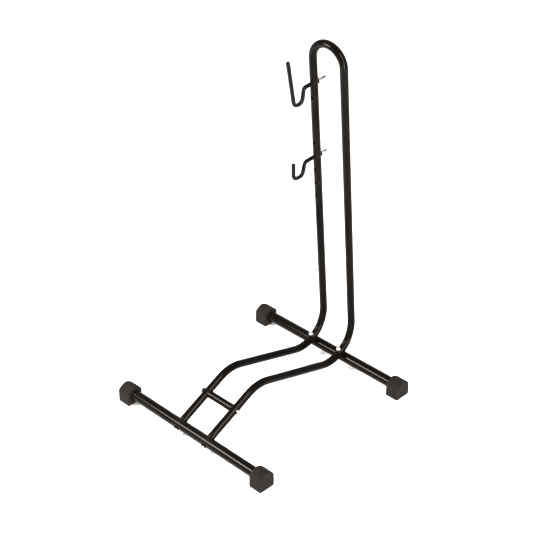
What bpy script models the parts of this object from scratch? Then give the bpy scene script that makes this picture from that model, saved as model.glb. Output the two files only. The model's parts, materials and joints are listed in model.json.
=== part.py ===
"""Bike repair stand: a bent tube frame on two cross tubes, with two adjustable hooks.

Frame: metres, +X along the cross tubes, +Y from the front tube to the rear tube, +Z up.
The origin is on the floor, under the middle of the stand's bounding box.
"""

from math import asin, atan2, cos, hypot, pi, radians, sin, tan

import bmesh
import bpy
from mathutils import Matrix, Vector

# Driving dimensions, overall
TOTAL_HEIGHT = 0.731  # floor to the top of the loop
OVERALL_WIDTH = 0.405  # outer end to outer end of the feet
BASE_DEPTH = 0.392  # front tube axis to rear tube axis
LEG_SPACING = 0.078  # leg axis to leg axis

# Tubes
LEG_OD = 0.016
LEG_WALL = 0.0012
CROSS_OD = 0.022
CROSS_WALL = 0.0012
LEG_SIDES = 16
CROSS_SIDES = 24
BEND_STEP = radians(12)  # turn of each straight piece of a bend
TIP_STEPS = 2  # rings of a domed tip

# Side outline of a leg: drop, hump, rise, saddle on the rear tube, heel, leaning upright
HUMP_RUN = 0.138  # front tube axis to the hump's corner
HUMP_RISE = 0.067  # tube axis height to the hump's corner
HUMP_RADIUS = 0.075
SADDLE_RADIUS = 0.068
SADDLE_TILT = radians(30.5)  # the leg touches the rear tube this far forward of its top
HEEL_SLOPE = radians(52)  # of the straight between saddle and heel, above level
HEEL_REACH = 0.024  # rear tube axis to the heel's corner
HEEL_RADIUS = 0.075
UPRIGHT_LEAN = radians(4.5)  # forward
BRACE_RUN = 0.075  # front tube axis to the brace's axis

# Rubber feet
FOOT_LENGTH = 0.030
FOOT_WIDTH = 0.038
FOOT_BELOW = 0.021  # floor to the tube axis
FOOT_ABOVE = 0.0187  # tube axis to the foot's top
FOOT_SIDE = 0.006  # tube axis to the top of the upright sides
FOOT_ARCH_POWER = 1.45  # 1 is a plain ridge, 2 an ellipse
FOOT_ARCH_STEPS = 10
FOOT_HEM = 0.003  # bevel along the end and bottom edges
HEM_ANGLE = radians(50)  # edges sharper than this get the hem
FOOT_END_WALL = 0.004

# Fasteners: M6 throughout
BOLT_D = 0.006
HEAD_D = 0.0095
HEAD_HEIGHT = 0.0042
HEAD_CROWN = ((1, 0), (1, 0.3), (0.86, 0.7), (0.6, 1))  # shares of the head's radius and height
SOCKET_FLATS = 0.004
SOCKET_DEPTH = 0.0022
NUT_FLATS = 0.010
NUT_HEIGHT = 0.005
BOLT_TAIL = 0.002  # of thread past a nut
WASHER_D = 0.012
WASHER_THICK = 0.0012
PLUG_LENGTH = 0.020
BOLT_SIDES = 16

# Hooks, in holes through the left leg
HOLE_PITCH = 0.030
LOW_HOLE_HEIGHT = 0.381  # floor to the lowest hole
LOW_HOLES = 5
UPPER_HOLE_HEIGHT = 0.601  # floor to the lower of the two upper holes
UPPER_HOLES = 2
LOW_HOOK_HOLE = 3  # counted from the lowest, from 0
UPPER_HOOK_HOLE = 1
ROD_D = 0.0064
SLEEVE_D = 0.0081
ROD_SIDES = 12
NUT_HUB_D = 0.0115
NUT_HUB_TOP_D = 0.009
NUT_HUB_HEIGHT = 0.0065
NUT_HUB_RIM = 0.0015  # upright part of the hub, before its taper
WING_SPAN = 0.0125  # hub axis to wing tip
WING_HEIGHT = 0.0135  # leg side of the nut to wing tip
WING_THICK = 0.0024
WING_LIFT = 0.001  # leg side of the nut to a wing's lower edge
WING_FLARE = 0.55  # share of the wing's height where its lower edge reaches the span
WING_TIP_CORNER = 0.001
WING_TIP_EDGE = 0.0025  # flat edge at the wing's tip
WING_SEAT = 0.8  # share of the hub's height where the wing's upper edge leaves it

# Clearances
GAP = 0.0003  # between pieces that touch or clamp each other
DRILL_CLEARANCE = 0.0003  # radial, around an M6 thread
PLUG_SETBACK = 0.0009  # front tube's skin to the plug
ROD_SETBACK = 0.0006  # the rod ends this far before the coating's inner end
THREAD_LAP = 0.0012  # the thread starts this far inside the rod
SMOOTH_ANGLE = radians(35)  # edges sharper than this stay sharp


class HookShape:
    """Side outline of one hook, square to its leg: shank, inner arm, bowl and outer arm."""

    def __init__(self, shank, drop, inner_lean, mouth, tip_rise, outer_lean, bowl, thread):
        self.shank = shank  # leg axis to the shank's corner
        self.drop = drop  # shank axis to the bowl's axis, at the inner arm
        self.inner_lean = inner_lean  # of the inner arm, forward on its way down
        self.mouth = mouth  # arm axis to arm axis at the bowl
        self.tip_rise = tip_rise  # tip above the shank axis
        self.outer_lean = outer_lean  # of the outer arm, forward on its way up
        self.bowl = bowl  # radius of both lower corners
        self.thread = thread  # leg axis to the thread's end, behind the leg


UPPER_HOOK = HookShape(0.028, 0.0294, radians(12.5), 0.0218, 0.0674, radians(6), 0.0115, 0.0315)
LOWER_HOOK = HookShape(0.035, 0.0262, radians(18.5), 0.0249, 0.0082, radians(-4), 0.0105, 0.028)
SHANK_RADIUS = 0.007

# Derived radii and heights
LEG_R = LEG_OD / 2
CROSS_R = CROSS_OD / 2
HOLE_R = BOLT_D / 2 + DRILL_CLEARANCE
AXIS_Z = FOOT_BELOW
CLAMP_STACK = GAP + WASHER_THICK + GAP  # from a clamped face to the head or nut on its washer


def direction(angle):
    """Unit vector in the YZ plane, at this angle above +Y."""
    return Vector((0, cos(angle), sin(angle)))


def left_of(angle):
    """Unit vector a quarter turn left of direction(angle)."""
    return direction(angle + pi / 2)


def leg_corners():
    """Corners of a leg's axis in the YZ plane, from the front tube axis up, and its bend radii."""
    front = Vector((0, 0, AXIS_Z))
    rear = Vector((0, BASE_DEPTH, AXIS_Z))
    hump = Vector((0, HUMP_RUN, AXIS_Z + HUMP_RISE))
    seat = LEG_R + CROSS_R + GAP
    centre = rear + left_of(SADDLE_TILT) * (SADDLE_RADIUS + seat)
    reach = centre - hump
    rise_angle = atan2(reach.z, reach.y) - asin(SADDLE_RADIUS / reach.length)
    middle = (rise_angle + HEEL_SLOPE) / 2
    half_turn = (HEEL_SLOPE - rise_angle) / 2
    saddle = centre - left_of(middle) * (SADDLE_RADIUS / cos(half_turn))
    run = rear.y + HEEL_REACH - saddle.y
    heel = saddle + direction(HEEL_SLOPE) * (run / cos(HEEL_SLOPE))
    loop_rise = LEG_SPACING / 2 * cos(UPRIGHT_LEAN)
    shoulder_z = TOTAL_HEIGHT - LEG_R - loop_rise
    shoulder = heel + Vector((0, -tan(UPRIGHT_LEAN), 1)) * (shoulder_z - heel.z)
    return [front, hump, saddle, heel, shoulder], [HUMP_RADIUS, SADDLE_RADIUS, HEEL_RADIUS]


CORNERS, BEND_RADII = leg_corners()
FRONT, HUMP, SADDLE, HEEL, SHOULDER = CORNERS
DROP_ANGLE = atan2(HUMP.z - FRONT.z, HUMP.y - FRONT.y)
HEEL_TURN = pi / 2 + UPRIGHT_LEAN - HEEL_SLOPE
HEEL_CENTRE_Y = (HEEL + left_of(HEEL_SLOPE + HEEL_TURN / 2) * (HEEL_RADIUS / cos(HEEL_TURN / 2))).y
BACK_EDGE = max(HEEL_CENTRE_Y + HEEL_RADIUS + LEG_R, BASE_DEPTH + FOOT_WIDTH / 2)
FRONT_Y = (FOOT_WIDTH / 2 - BACK_EDGE) / 2  # of the front tube axis, in the stand's frame
SHIFT = Vector((0, FRONT_Y, 0))


def leg_axis_y(height):
    """Y of a leg's axis on the upright, at this height above the floor."""
    return FRONT_Y + HEEL.y - tan(UPRIGHT_LEAN) * (height - HEEL.z)


def rounded(corners, radii):
    """Points along straight runs whose inner corners are rounded to these radii."""
    points = [corners[0]]
    for before, corner, after, radius in zip(corners, corners[1:], corners[2:], radii):
        back = (before - corner).normalized()
        onward = (after - corner).normalized()
        opening = back.angle(onward)
        centre = corner + (back + onward).normalized() * (radius / sin(opening / 2))
        start = corner + back * (radius / tan(opening / 2)) - centre
        turn_axis = back.cross(onward).normalized() * -1
        turn = pi - opening
        steps = max(2, round(turn / BEND_STEP))
        for step in range(steps + 1):
            points.append(centre + Matrix.Rotation(turn * step / steps, 3, turn_axis) @ start)
    points.append(corners[-1])
    return points


def stations(path):
    """One matrix for each point of a path: its Z along the path, its X and Y carried without twist."""
    spans = [(b - a).normalized() for a, b in zip(path, path[1:])]
    tangents = [spans[0]] + [(a + b).normalized() for a, b in zip(spans, spans[1:])] + [spans[-1]]
    turn = Vector((0, 0, 1)).rotation_difference(tangents[0])
    found = []
    for index, tangent in enumerate(tangents):
        if index:
            turn = tangents[index - 1].rotation_difference(tangent) @ turn
        found.append(Matrix.Translation(path[index]) @ turn.to_matrix().to_4x4())
    return found


def add_ring(mesh, frame, radius, sides):
    """Circle of vertices about a frame's Z."""
    angles = [2 * pi * index / sides for index in range(sides)]
    return [mesh.verts.new(frame @ Vector((radius * cos(a), radius * sin(a), 0))) for a in angles]


def skin(mesh, rings):
    """Faces between each ring and the next."""
    for first, second in zip(rings, rings[1:]):
        for index in range(len(first)):
            mesh.faces.new((first[index - 1], first[index], second[index], second[index - 1]))


def finish_mesh(mesh, name):
    """Turns a bmesh into a mesh with outward faces, smooth but for its real edges."""
    bmesh.ops.recalc_face_normals(mesh, faces=mesh.faces)
    data = bpy.data.meshes.new(name)
    mesh.to_mesh(data)
    mesh.free()
    data.shade_smooth()
    data.set_sharp_from_angle(angle=SMOOTH_ANGLE)
    return data


def bar(name, path, radius, sides):
    """Solid round bar along a path."""
    return swept(name, path, radius, None, sides)


def swept(name, path, radius, bore, sides, tip=False):
    """Round bar or, with a bore radius, tube along a path. A tip's dome closes the last end."""
    frames = stations(path)
    mesh = bmesh.new()
    outer = [add_ring(mesh, frame, radius, sides) for frame in frames]
    if tip:
        for step in range(1, TIP_STEPS + 1):
            angle = pi / 2 * step / (TIP_STEPS + 0.5)
            lifted = frames[-1] @ Matrix.Translation((0, 0, radius * sin(angle)))
            outer.append(add_ring(mesh, lifted, radius * cos(angle), sides))
    if bore is None:
        skin(mesh, outer)
        mesh.faces.new(outer[0])
        mesh.faces.new(outer[-1])
        return finish_mesh(mesh, name)
    inner = [add_ring(mesh, frame, bore, sides) for frame in reversed(frames)]
    skin(mesh, [inner[-1]] + outer)
    skin(mesh, inner)
    if tip:
        mesh.faces.new(outer[-1])
        mesh.faces.new(inner[0])
    else:
        skin(mesh, [outer[-1], inner[0]])
    return finish_mesh(mesh, name)


def turned(name, profile, sides):
    """Solid turned about Z from (radius, height) pairs that run up its outside, capped flat."""
    mesh = bmesh.new()
    rings = [add_ring(mesh, Matrix.Translation((0, 0, height)), radius, sides) for radius, height in profile]
    skin(mesh, rings)
    mesh.faces.new(rings[0])
    mesh.faces.new(rings[-1])
    return finish_mesh(mesh, name)


def ring_solid(name, outer, inner, height, sides):
    """Flat ring or pipe, standing on z = 0."""
    path = [Vector((0, 0, 0)), Vector((0, 0, height))]
    return swept(name, path, outer, inner, sides)


def prism(name, outline, length):
    """Solid from a closed outline of (y, z) points, carried along +X by length."""
    mesh = bmesh.new()
    verts = [mesh.verts.new((0, y, z)) for y, z in outline]
    face = mesh.faces.new(verts)
    made = bmesh.ops.extrude_face_region(mesh, geom=[face])["geom"]
    moved = [item for item in made if isinstance(item, bmesh.types.BMVert)]
    bmesh.ops.translate(mesh, verts=moved, vec=(length, 0, 0))
    return finish_mesh(mesh, name)


def material(name, colour, roughness, metallic):
    """Principled material of one colour."""
    made = bpy.data.materials.new(name)
    made.use_nodes = True
    shader = made.node_tree.nodes["Principled BSDF"]
    shader.inputs["Base Color"].default_value = (*colour, 1)
    shader.inputs["Roughness"].default_value = roughness
    shader.inputs["Metallic"].default_value = metallic
    return made


def aim(point, towards):
    """Placement matrix at a point, with its +Z towards a direction."""
    turn = Vector((0, 0, 1)).rotation_difference(towards)
    return Matrix.Translation(point) @ turn.to_matrix().to_4x4()


def place(name, data, finish, matrix=None, parent=None):
    """Puts a mesh into the scene as one named piece."""
    piece = bpy.data.objects.new(name, data)
    bpy.context.scene.collection.objects.link(piece)
    if not data.materials:
        data.materials.append(finish)
    if parent:
        piece.parent = parent
        piece.matrix_parent_inverse = parent.matrix_basis.inverted()
    piece.matrix_basis = matrix or Matrix()
    return piece


def combine(piece, name, data, matrix, operation):
    """Adds a hidden object to a piece, or takes it away, by a Boolean modifier."""
    tool = bpy.data.objects.new(name, data)
    bpy.context.scene.collection.objects.link(tool)
    tool.matrix_basis = matrix
    tool.hide_render = True
    tool.display_type = "WIRE"
    modifier = piece.modifiers.new(name, "BOOLEAN")
    modifier.operation = operation
    modifier.object = tool


def cut(piece, cutters, name):
    """Cuts a piece with one hidden object that holds all these closed meshes."""
    mesh = bmesh.new()
    for data, matrix in cutters:
        part = data.copy()
        part.transform(matrix)
        mesh.from_mesh(part)
        bpy.data.meshes.remove(part)
    data = bpy.data.meshes.new(name)
    mesh.to_mesh(data)
    mesh.free()
    combine(piece, name, data, Matrix(), "DIFFERENCE")


def joint_empty(name, matrix):
    """Marks a joint's axis: the pieces that turn on it hang from this empty."""
    marker = bpy.data.objects.new(name, None)
    bpy.context.scene.collection.objects.link(marker)
    marker.matrix_basis = matrix
    return marker


def drill(length, radius=HOLE_R, sides=BOLT_SIDES):
    """Straight cutter along Z, centred on its origin."""
    path = [Vector((0, 0, -length / 2)), Vector((0, 0, length / 2))]
    return bar("drill", path, radius, sides)


def leg_path():
    """Axis of the whole bent frame tube: up the left leg, round the loop, down the right leg."""
    side = rounded(CORNERS, BEND_RADII)
    left = [point + SHIFT - Vector((LEG_SPACING / 2, 0, 0)) for point in side]
    right = [point + SHIFT + Vector((LEG_SPACING / 2, 0, 0)) for point in reversed(side)]
    middle = (left[-1] + right[0]) / 2
    up = Vector((0, -sin(UPRIGHT_LEAN), cos(UPRIGHT_LEAN)))
    steps = round(pi / BEND_STEP)
    loop = []
    for step in range(1, steps):
        angle = pi * step / steps
        across = Vector((-cos(angle), 0, 0)) * (LEG_SPACING / 2)
        loop.append(middle + across + up * (sin(angle) * LEG_SPACING / 2))
    return left + loop + right


def hook_holes():
    """Heights of the hook holes' axes above the floor, lowest first."""
    low = [LOW_HOLE_HEIGHT + HOLE_PITCH * index for index in range(LOW_HOLES)]
    upper = [UPPER_HOLE_HEIGHT + HOLE_PITCH * index for index in range(UPPER_HOLES)]
    return low, upper


def leg_x(side):
    """X of the left (-1) or right (+1) leg's axis."""
    return side * LEG_SPACING / 2


def hole_point(height):
    """Where a hook hole crosses the left leg's axis."""
    return Vector((leg_x(-1), leg_axis_y(height), height))


def front_point(side):
    """Where a leg's axis meets the front tube's axis."""
    return Vector((leg_x(side), FRONT_Y, AXIS_Z))


def saddle_point(side):
    """Rear tube's axis, at a leg."""
    return Vector((leg_x(side), FRONT_Y + BASE_DEPTH, AXIS_Z))


def brace_point():
    """Middle of the brace's axis, which crosses the legs' axes."""
    return Vector((0, FRONT_Y + BRACE_RUN, AXIS_Z + BRACE_RUN * tan(DROP_ANGLE)))


def across(length):
    """Path along X, centred on x = 0."""
    return [Vector((-length / 2, 0, 0)), Vector((length / 2, 0, 0))]


def build_frame(paint):
    """The bent tube: coped on the front tube and drilled for bolts, brace bolt and hooks."""
    tube = swept("main_frame_tube", leg_path(), LEG_R, LEG_R - LEG_WALL, LEG_SIDES)
    frame = place("main_frame_tube", tube, paint)
    x_turn = Matrix.Rotation(pi / 2, 4, "Y")
    wide = LEG_SPACING + 4 * LEG_OD
    cutters = [(drill(wide, CROSS_R + GAP, CROSS_SIDES), Matrix.Translation((0, FRONT_Y, AXIS_Z)) @ x_turn)]
    cutters.append((drill(wide), Matrix.Translation(brace_point()) @ x_turn))
    through = drill(2 * LEG_OD)
    for side in (-1, 1):
        seat = saddle_point(side) + left_of(SADDLE_TILT) * (CROSS_R + GAP + LEG_R)
        cutters.append((through, aim(seat, left_of(SADDLE_TILT))))
    low, upper = hook_holes()
    for height in low + upper:
        cutters.append((through, aim(hole_point(height), direction(UPRIGHT_LEAN))))
    cut(frame, cutters, "frame_drills")


def build_cross_tube(name, y, bolt_direction, paint):
    """A straight tube along X with a bolt hole through it at each leg."""
    length = OVERALL_WIDTH - 2 * (FOOT_END_WALL + GAP)
    tube = swept(name, across(length), CROSS_R, CROSS_R - CROSS_WALL, CROSS_SIDES)
    piece = place(name, tube, paint, Matrix.Translation((0, y, AXIS_Z)))
    through = drill(2 * CROSS_OD)
    cutters = [(through, aim(Vector((leg_x(side), y, AXIS_Z)), bolt_direction)) for side in (-1, 1)]
    cut(piece, cutters, name + "_drills")


def foot_outline():
    """Side outline of a foot about the tube axis: square base, upright sides, flattened arch."""
    half = FOOT_WIDTH / 2
    outline = [(-half, -FOOT_BELOW), (half, -FOOT_BELOW)]
    power = 2 / FOOT_ARCH_POWER
    for step in range(FOOT_ARCH_STEPS + 1):
        angle = pi * step / FOOT_ARCH_STEPS
        y = half * abs(cos(angle)) ** power * (1 if step < FOOT_ARCH_STEPS / 2 else -1)
        outline.append((y, FOOT_SIDE + (FOOT_ABOVE - FOOT_SIDE) * sin(angle) ** power))
    return outline


def build_foot(name, side, y, rubber):
    """A block cap on one end of a cross tube."""
    inner_x = side * (OVERALL_WIDTH / 2 - FOOT_LENGTH)
    data = prism(name, foot_outline(), FOOT_LENGTH)
    if side < 0:
        data.transform(Matrix.Translation((-FOOT_LENGTH, 0, 0)))
    foot = place(name, data, rubber, Matrix.Translation((inner_x, y, AXIS_Z)))
    hem = foot.modifiers.new("hem", "BEVEL")
    hem.width = FOOT_HEM
    hem.segments = 2
    hem.limit_method = "ANGLE"
    hem.angle_limit = HEM_ANGLE
    depth = FOOT_LENGTH - FOOT_END_WALL
    pocket = drill(2 * depth, CROSS_R + GAP, CROSS_SIDES)
    centre = Matrix.Translation((inner_x, y, AXIS_Z)) @ Matrix.Rotation(pi / 2, 4, "Y")
    cut(foot, [(pocket, centre)], name + "_pocket")


def build_brace(paint):
    """Short tube between the legs, coped on both."""
    tube = swept("brace_tube", across(LEG_SPACING), LEG_R, LEG_R - LEG_WALL, LEG_SIDES)
    brace = place("brace_tube", tube, paint, Matrix.Translation(brace_point()))
    cope = drill(4 * LEG_OD, LEG_R + GAP, CROSS_SIDES)
    cutters = []
    for side in (-1, 1):
        point = brace_point() + Vector((leg_x(side), 0, 0))
        cutters.append((cope, aim(point, direction(DROP_ANGLE))))
    cut(brace, cutters, "brace_copes")


def bolt_mesh(shank):
    """Button-head bolt along Z: its head sits on z = 0 and its shank runs down."""
    profile = [(BOLT_D / 2, -shank), (BOLT_D / 2, 0)]
    profile += [(wide * HEAD_D / 2, high * HEAD_HEIGHT) for wide, high in HEAD_CROWN]
    return turned("bolt", profile, BOLT_SIDES)


def socket_cutter():
    """Six-sided recess for the key, open above the head."""
    radius = SOCKET_FLATS / 2 / cos(pi / 6)
    path = [Vector((0, 0, HEAD_HEIGHT - SOCKET_DEPTH)), Vector((0, 0, HEAD_HEIGHT + SOCKET_DEPTH))]
    return bar("socket", path, radius, 6)


def build_bolt(name, seat, outward, shank, zinc):
    """A bolt whose head bears at seat and points outward."""
    matrix = aim(seat, outward)
    piece = place(name, bolt_mesh(shank), zinc, matrix)
    cut(piece, [(socket_cutter(), matrix)], name + "_socket")


def build_washer(name, seat, outward, paint, parent=None):
    """A flat black washer that lies on seat."""
    data = ring_solid(name, WASHER_D / 2, HOLE_R, WASHER_THICK, BOLT_SIDES)
    return place(name, data, paint, aim(seat, outward), parent)


def build_nut(name, seat, outward, zinc):
    """A plain hexagon nut that lies on seat."""
    matrix = aim(seat, outward)
    path = [Vector((0, 0, 0)), Vector((0, 0, NUT_HEIGHT))]
    nut = place(name, bar(name, path, NUT_FLATS / 2 / cos(pi / 6), 6), zinc, matrix)
    cut(nut, [(drill(4 * NUT_HEIGHT), matrix)], name + "_bore")


def saddle_lift():
    """How far a flat washer stands off the hollow of the saddle bend it bridges."""
    hollow = SADDLE_RADIUS - LEG_R
    half_span = asin(WASHER_D / 2 / hollow)
    return hollow * (2 - cos(half_span) - cos(BEND_STEP / 2))


def build_rear_bolts(zinc, paint):
    """Through each saddle and the rear tube: bolt and washer above, washer and nut below."""
    outward = left_of(SADDLE_TILT)
    top = CROSS_R + GAP + LEG_OD + saddle_lift()
    for side, word in ((-1, "left"), (1, "right")):
        axis = saddle_point(side)
        shank = top + CLAMP_STACK + CROSS_R + CLAMP_STACK + NUT_HEIGHT + BOLT_TAIL
        build_bolt(f"rear_bolt_{word}", axis + outward * (top + CLAMP_STACK), outward, shank, zinc)
        build_washer(f"rear_bolt_washer_{word}", axis + outward * (top + GAP), outward, paint)
        build_washer(f"rear_nut_washer_{word}", axis - outward * (CROSS_R + GAP), -outward, paint)
        build_nut(f"rear_nut_{word}", axis - outward * (CROSS_R + CLAMP_STACK), -outward, zinc)


def build_front_bolts(zinc, paint):
    """Through the front tube into a threaded plug in each leg's end."""
    inward = direction(DROP_ANGLE)
    plug_start = CROSS_R + PLUG_SETBACK
    shank = CROSS_R + CLAMP_STACK + plug_start + PLUG_LENGTH
    for side, word in ((-1, "left"), (1, "right")):
        axis = front_point(side)
        build_bolt(f"front_bolt_{word}", axis - inward * (CROSS_R + CLAMP_STACK), -inward, shank, zinc)
        build_washer(f"front_bolt_washer_{word}", axis - inward * (CROSS_R + GAP), -inward, paint)
        plug = ring_solid("plug", LEG_R - LEG_WALL - GAP, HOLE_R, PLUG_LENGTH, BOLT_SIDES)
        place(f"leg_end_plug_{word}", plug, zinc, aim(axis + inward * plug_start, inward))


def build_brace_bolt(zinc, paint):
    """One long bolt through both legs and the brace, its head on the right."""
    outer = LEG_SPACING / 2 + LEG_R
    right = Vector((1, 0, 0))
    shank = 2 * (outer + CLAMP_STACK) + NUT_HEIGHT + BOLT_TAIL
    build_bolt("brace_bolt", brace_point() + right * (outer + CLAMP_STACK), right, shank, zinc)
    build_washer("brace_washer_right", brace_point() + right * (outer + GAP), right, paint)
    build_washer("brace_washer_left", brace_point() - right * (outer + GAP), -right, paint)
    build_nut("brace_nut", brace_point() - right * (outer + CLAMP_STACK), -right, zinc)


def hook_path(shape):
    """Axis of a hook's coated stretch about its shank hole: forward, down, round and up."""
    start = Vector((0, -(LEG_R + GAP), 0))
    shank = Vector((0, -shape.shank, 0))
    inner = shank + Vector((0, -shape.drop * tan(shape.inner_lean), -shape.drop))
    outer = inner + Vector((0, -shape.mouth, shape.mouth * tan(UPRIGHT_LEAN)))
    rise = shape.tip_rise - outer.z
    tip = outer + Vector((0, -rise * tan(shape.outer_lean), rise))
    return rounded([start, shank, inner, outer, tip], [SHANK_RADIUS, shape.bowl, shape.bowl])


def wing_outline():
    """One wing of a wing nut in the YZ plane, root at the hub's axis, tip up and back."""
    tip = WING_SPAN - WING_TIP_CORNER
    seat = WING_SEAT * NUT_HUB_HEIGHT
    lower = [(WING_LIFT, 0), (WING_LIFT, NUT_HUB_D / 2 + WING_LIFT), (WING_FLARE * WING_HEIGHT, WING_SPAN)]
    upper = [(WING_HEIGHT, tip), (WING_HEIGHT, tip - WING_TIP_EDGE), (seat, NUT_HUB_TOP_D / 2), (seat, 0)]
    return lower + upper


def hub_mesh():
    """Tapered hub of a wing nut about +Y, before its bore is cut."""
    profile = [(NUT_HUB_D / 2, 0), (NUT_HUB_D / 2, NUT_HUB_RIM), (NUT_HUB_TOP_D / 2, NUT_HUB_HEIGHT)]
    hub = turned("hub", profile, BOLT_SIDES)
    hub.transform(Matrix.Rotation(-pi / 2, 4, "X"))
    return hub


def build_wing_nut(name, matrix, zinc, parent):
    """A wing nut about the matrix's Y, behind the leg, wings along the leg."""
    nut = place(name, hub_mesh(), zinc, matrix, parent)
    for word, turn in (("upper", 0), ("lower", pi)):
        data = prism("wing", wing_outline(), WING_THICK)
        data.transform(Matrix.Translation((-WING_THICK / 2, 0, 0)))
        combine(nut, f"{name}_{word}_wing", data, matrix @ Matrix.Rotation(turn, 4, "Y"), "UNION")
    bore = matrix @ Matrix.Rotation(pi / 2, 4, "X")
    cut(nut, [(drill(4 * WING_HEIGHT), bore)], name + "_bore")


def build_rod(word, shape, coated, matrix, zinc, parent):
    """A hook's steel rod: its bent stretch inside the coating, joined to its straight thread."""
    last = (coated[-1] - coated[-2]).normalized()
    path = [coated[0] + Vector((0, GAP, 0))] + coated[1:-1] + [coated[-1] - last * ROD_SETBACK]
    rod = place(f"{word}_hook_rod", bar("rod", path, ROD_D / 2, ROD_SIDES), zinc, matrix, parent)
    thread_path = [Vector((0, shape.thread, 0)), Vector((0, -(LEG_R + THREAD_LAP), 0))]
    thread = bar("thread", thread_path, BOLT_D / 2, ROD_SIDES)
    combine(rod, f"{word}_hook_thread", thread, matrix, "UNION")


def build_hook(word, shape, height, zinc, paint, coating):
    """One hook: its rod with a threaded end, its coating, and the washer and wing nut behind."""
    matrix = Matrix.Translation(hole_point(height)) @ Matrix.Rotation(UPRIGHT_LEAN, 4, "X")
    swivel = joint_empty(f"{word}_hook_swivel", matrix)
    coated = hook_path(shape)
    build_rod(word, shape, coated, matrix, zinc, swivel)
    sleeve = swept("sleeve", coated, SLEEVE_D / 2, ROD_D / 2 + GAP, ROD_SIDES, tip=True)
    place(f"{word}_hook_sleeve", sleeve, coating, matrix, swivel)
    back = direction(UPRIGHT_LEAN)
    build_washer(f"{word}_hook_washer", hole_point(height) + back * (LEG_R + GAP), back, paint, swivel)
    nut_matrix = matrix @ Matrix.Translation((0, LEG_R + CLAMP_STACK, 0))
    build_wing_nut(f"{word}_wing_nut", nut_matrix, zinc, swivel)


def main():
    """Builds the stand."""
    for old in list(bpy.data.objects):
        bpy.data.objects.remove(old)
    paint = material("black_powder_coat", (0.012, 0.011, 0.011), 0.3, 0.0)
    rubber = material("black_rubber", (0.03, 0.028, 0.027), 0.85, 0.0)
    zinc = material("bright_zinc", (0.75, 0.75, 0.76), 0.25, 1.0)
    coating = material("black_vinyl", (0.01, 0.01, 0.01), 0.22, 0.0)
    build_frame(paint)
    build_cross_tube("front_cross_tube", FRONT_Y, direction(DROP_ANGLE), paint)
    build_cross_tube("rear_cross_tube", FRONT_Y + BASE_DEPTH, left_of(SADDLE_TILT), paint)
    for row, y in (("front", FRONT_Y), ("rear", FRONT_Y + BASE_DEPTH)):
        for side, word in ((-1, "left"), (1, "right")):
            build_foot(f"foot_{row}_{word}", side, y, rubber)
    build_brace(paint)
    build_rear_bolts(zinc, paint)
    build_front_bolts(zinc, paint)
    build_brace_bolt(zinc, paint)
    low, upper = hook_holes()
    build_hook("upper", UPPER_HOOK, upper[UPPER_HOOK_HOLE], zinc, paint, coating)
    build_hook("lower", LOWER_HOOK, low[LOW_HOOK_HOLE], zinc, paint, coating)


main()
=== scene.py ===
"""Looks of a bent-tube bicycle stand: smooth tubes, rubber feet, coated hooks, bright fasteners.

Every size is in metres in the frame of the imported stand: +X along the cross tubes, +Y from the
front tube to the rear tube, +Z up, and the floor at z = 0.
"""

import json
import logging
from dataclasses import dataclass, field
from enum import Enum
from math import asin, atan2, cos, degrees, hypot, pi, radians, sin, tan

import bpy
import numpy as np
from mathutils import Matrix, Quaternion, Vector


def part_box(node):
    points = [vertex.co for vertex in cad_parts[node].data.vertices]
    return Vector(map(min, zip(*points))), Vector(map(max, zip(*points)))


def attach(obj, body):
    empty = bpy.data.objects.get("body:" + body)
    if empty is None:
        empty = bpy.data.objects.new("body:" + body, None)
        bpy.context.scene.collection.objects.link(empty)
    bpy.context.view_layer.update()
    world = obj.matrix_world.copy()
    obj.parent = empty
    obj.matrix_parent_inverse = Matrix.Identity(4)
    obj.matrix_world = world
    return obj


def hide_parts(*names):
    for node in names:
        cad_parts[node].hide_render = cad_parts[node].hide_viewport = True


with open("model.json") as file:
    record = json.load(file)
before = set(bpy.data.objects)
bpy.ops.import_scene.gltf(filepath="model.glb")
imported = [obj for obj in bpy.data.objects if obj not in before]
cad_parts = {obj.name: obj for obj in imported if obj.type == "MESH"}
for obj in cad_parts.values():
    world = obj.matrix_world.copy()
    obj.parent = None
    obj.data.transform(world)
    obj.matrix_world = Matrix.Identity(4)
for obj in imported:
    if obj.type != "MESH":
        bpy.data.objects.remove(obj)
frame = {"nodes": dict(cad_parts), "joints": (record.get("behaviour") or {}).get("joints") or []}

Array = np.ndarray
LOG = logging.getLogger("bicycle_stand")
MM = 0.001
X_AXIS = np.array([1.0, 0.0, 0.0])
UP = np.array([0.0, 0.0, 1.0])


# ---------------------------------------------------------------- small geometry


def unit(vector: Array) -> Array:
    """The same direction at length 1."""
    return vector / np.linalg.norm(vector)


def centre_of(node: str) -> Array:
    """Middle of a node's box."""
    low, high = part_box(node)
    return (np.array(low) + np.array(high)) / 2


def extent_of(node: str) -> Array:
    """Sides of a node's box."""
    low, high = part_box(node)
    return np.array(high) - np.array(low)


def in_side_plane(angle: float) -> Array:
    """Unit vector in the YZ plane at this angle above +Y."""
    return np.array([0.0, cos(angle), sin(angle)])


@dataclass(frozen=True)
class Axes:
    """A place with three directions at right angles, which local shapes are built in.

    A local point (x, y, z) stands at origin + x * across + y * side + z * along.
    """

    origin: Array
    across: Array
    side: Array
    along: Array

    def world(self, local: Array) -> Array:
        """Places local points, given in the last axis, in the stand's frame."""
        return (self.origin + local[..., :1] * self.across + local[..., 1:2] * self.side
                + local[..., 2:3] * self.along)

    @staticmethod
    def pointing(origin: Array, along: Array, across: Array = X_AXIS) -> "Axes":
        """Axes whose third direction is along, and whose first is as near across as it can be.

        Args:
            origin: Where local (0, 0, 0) stands.
            along: Direction of local +Z.
            across: Wanted direction of local +X.

        Returns:
            The axes, right-handed.
        """
        along = unit(np.asarray(along, float))
        if abs(float(along @ across)) > 0.9:
            across = UP
        first = unit(across - along * float(across @ along))
        return Axes(np.asarray(origin, float), first, np.cross(along, first), along)


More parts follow.
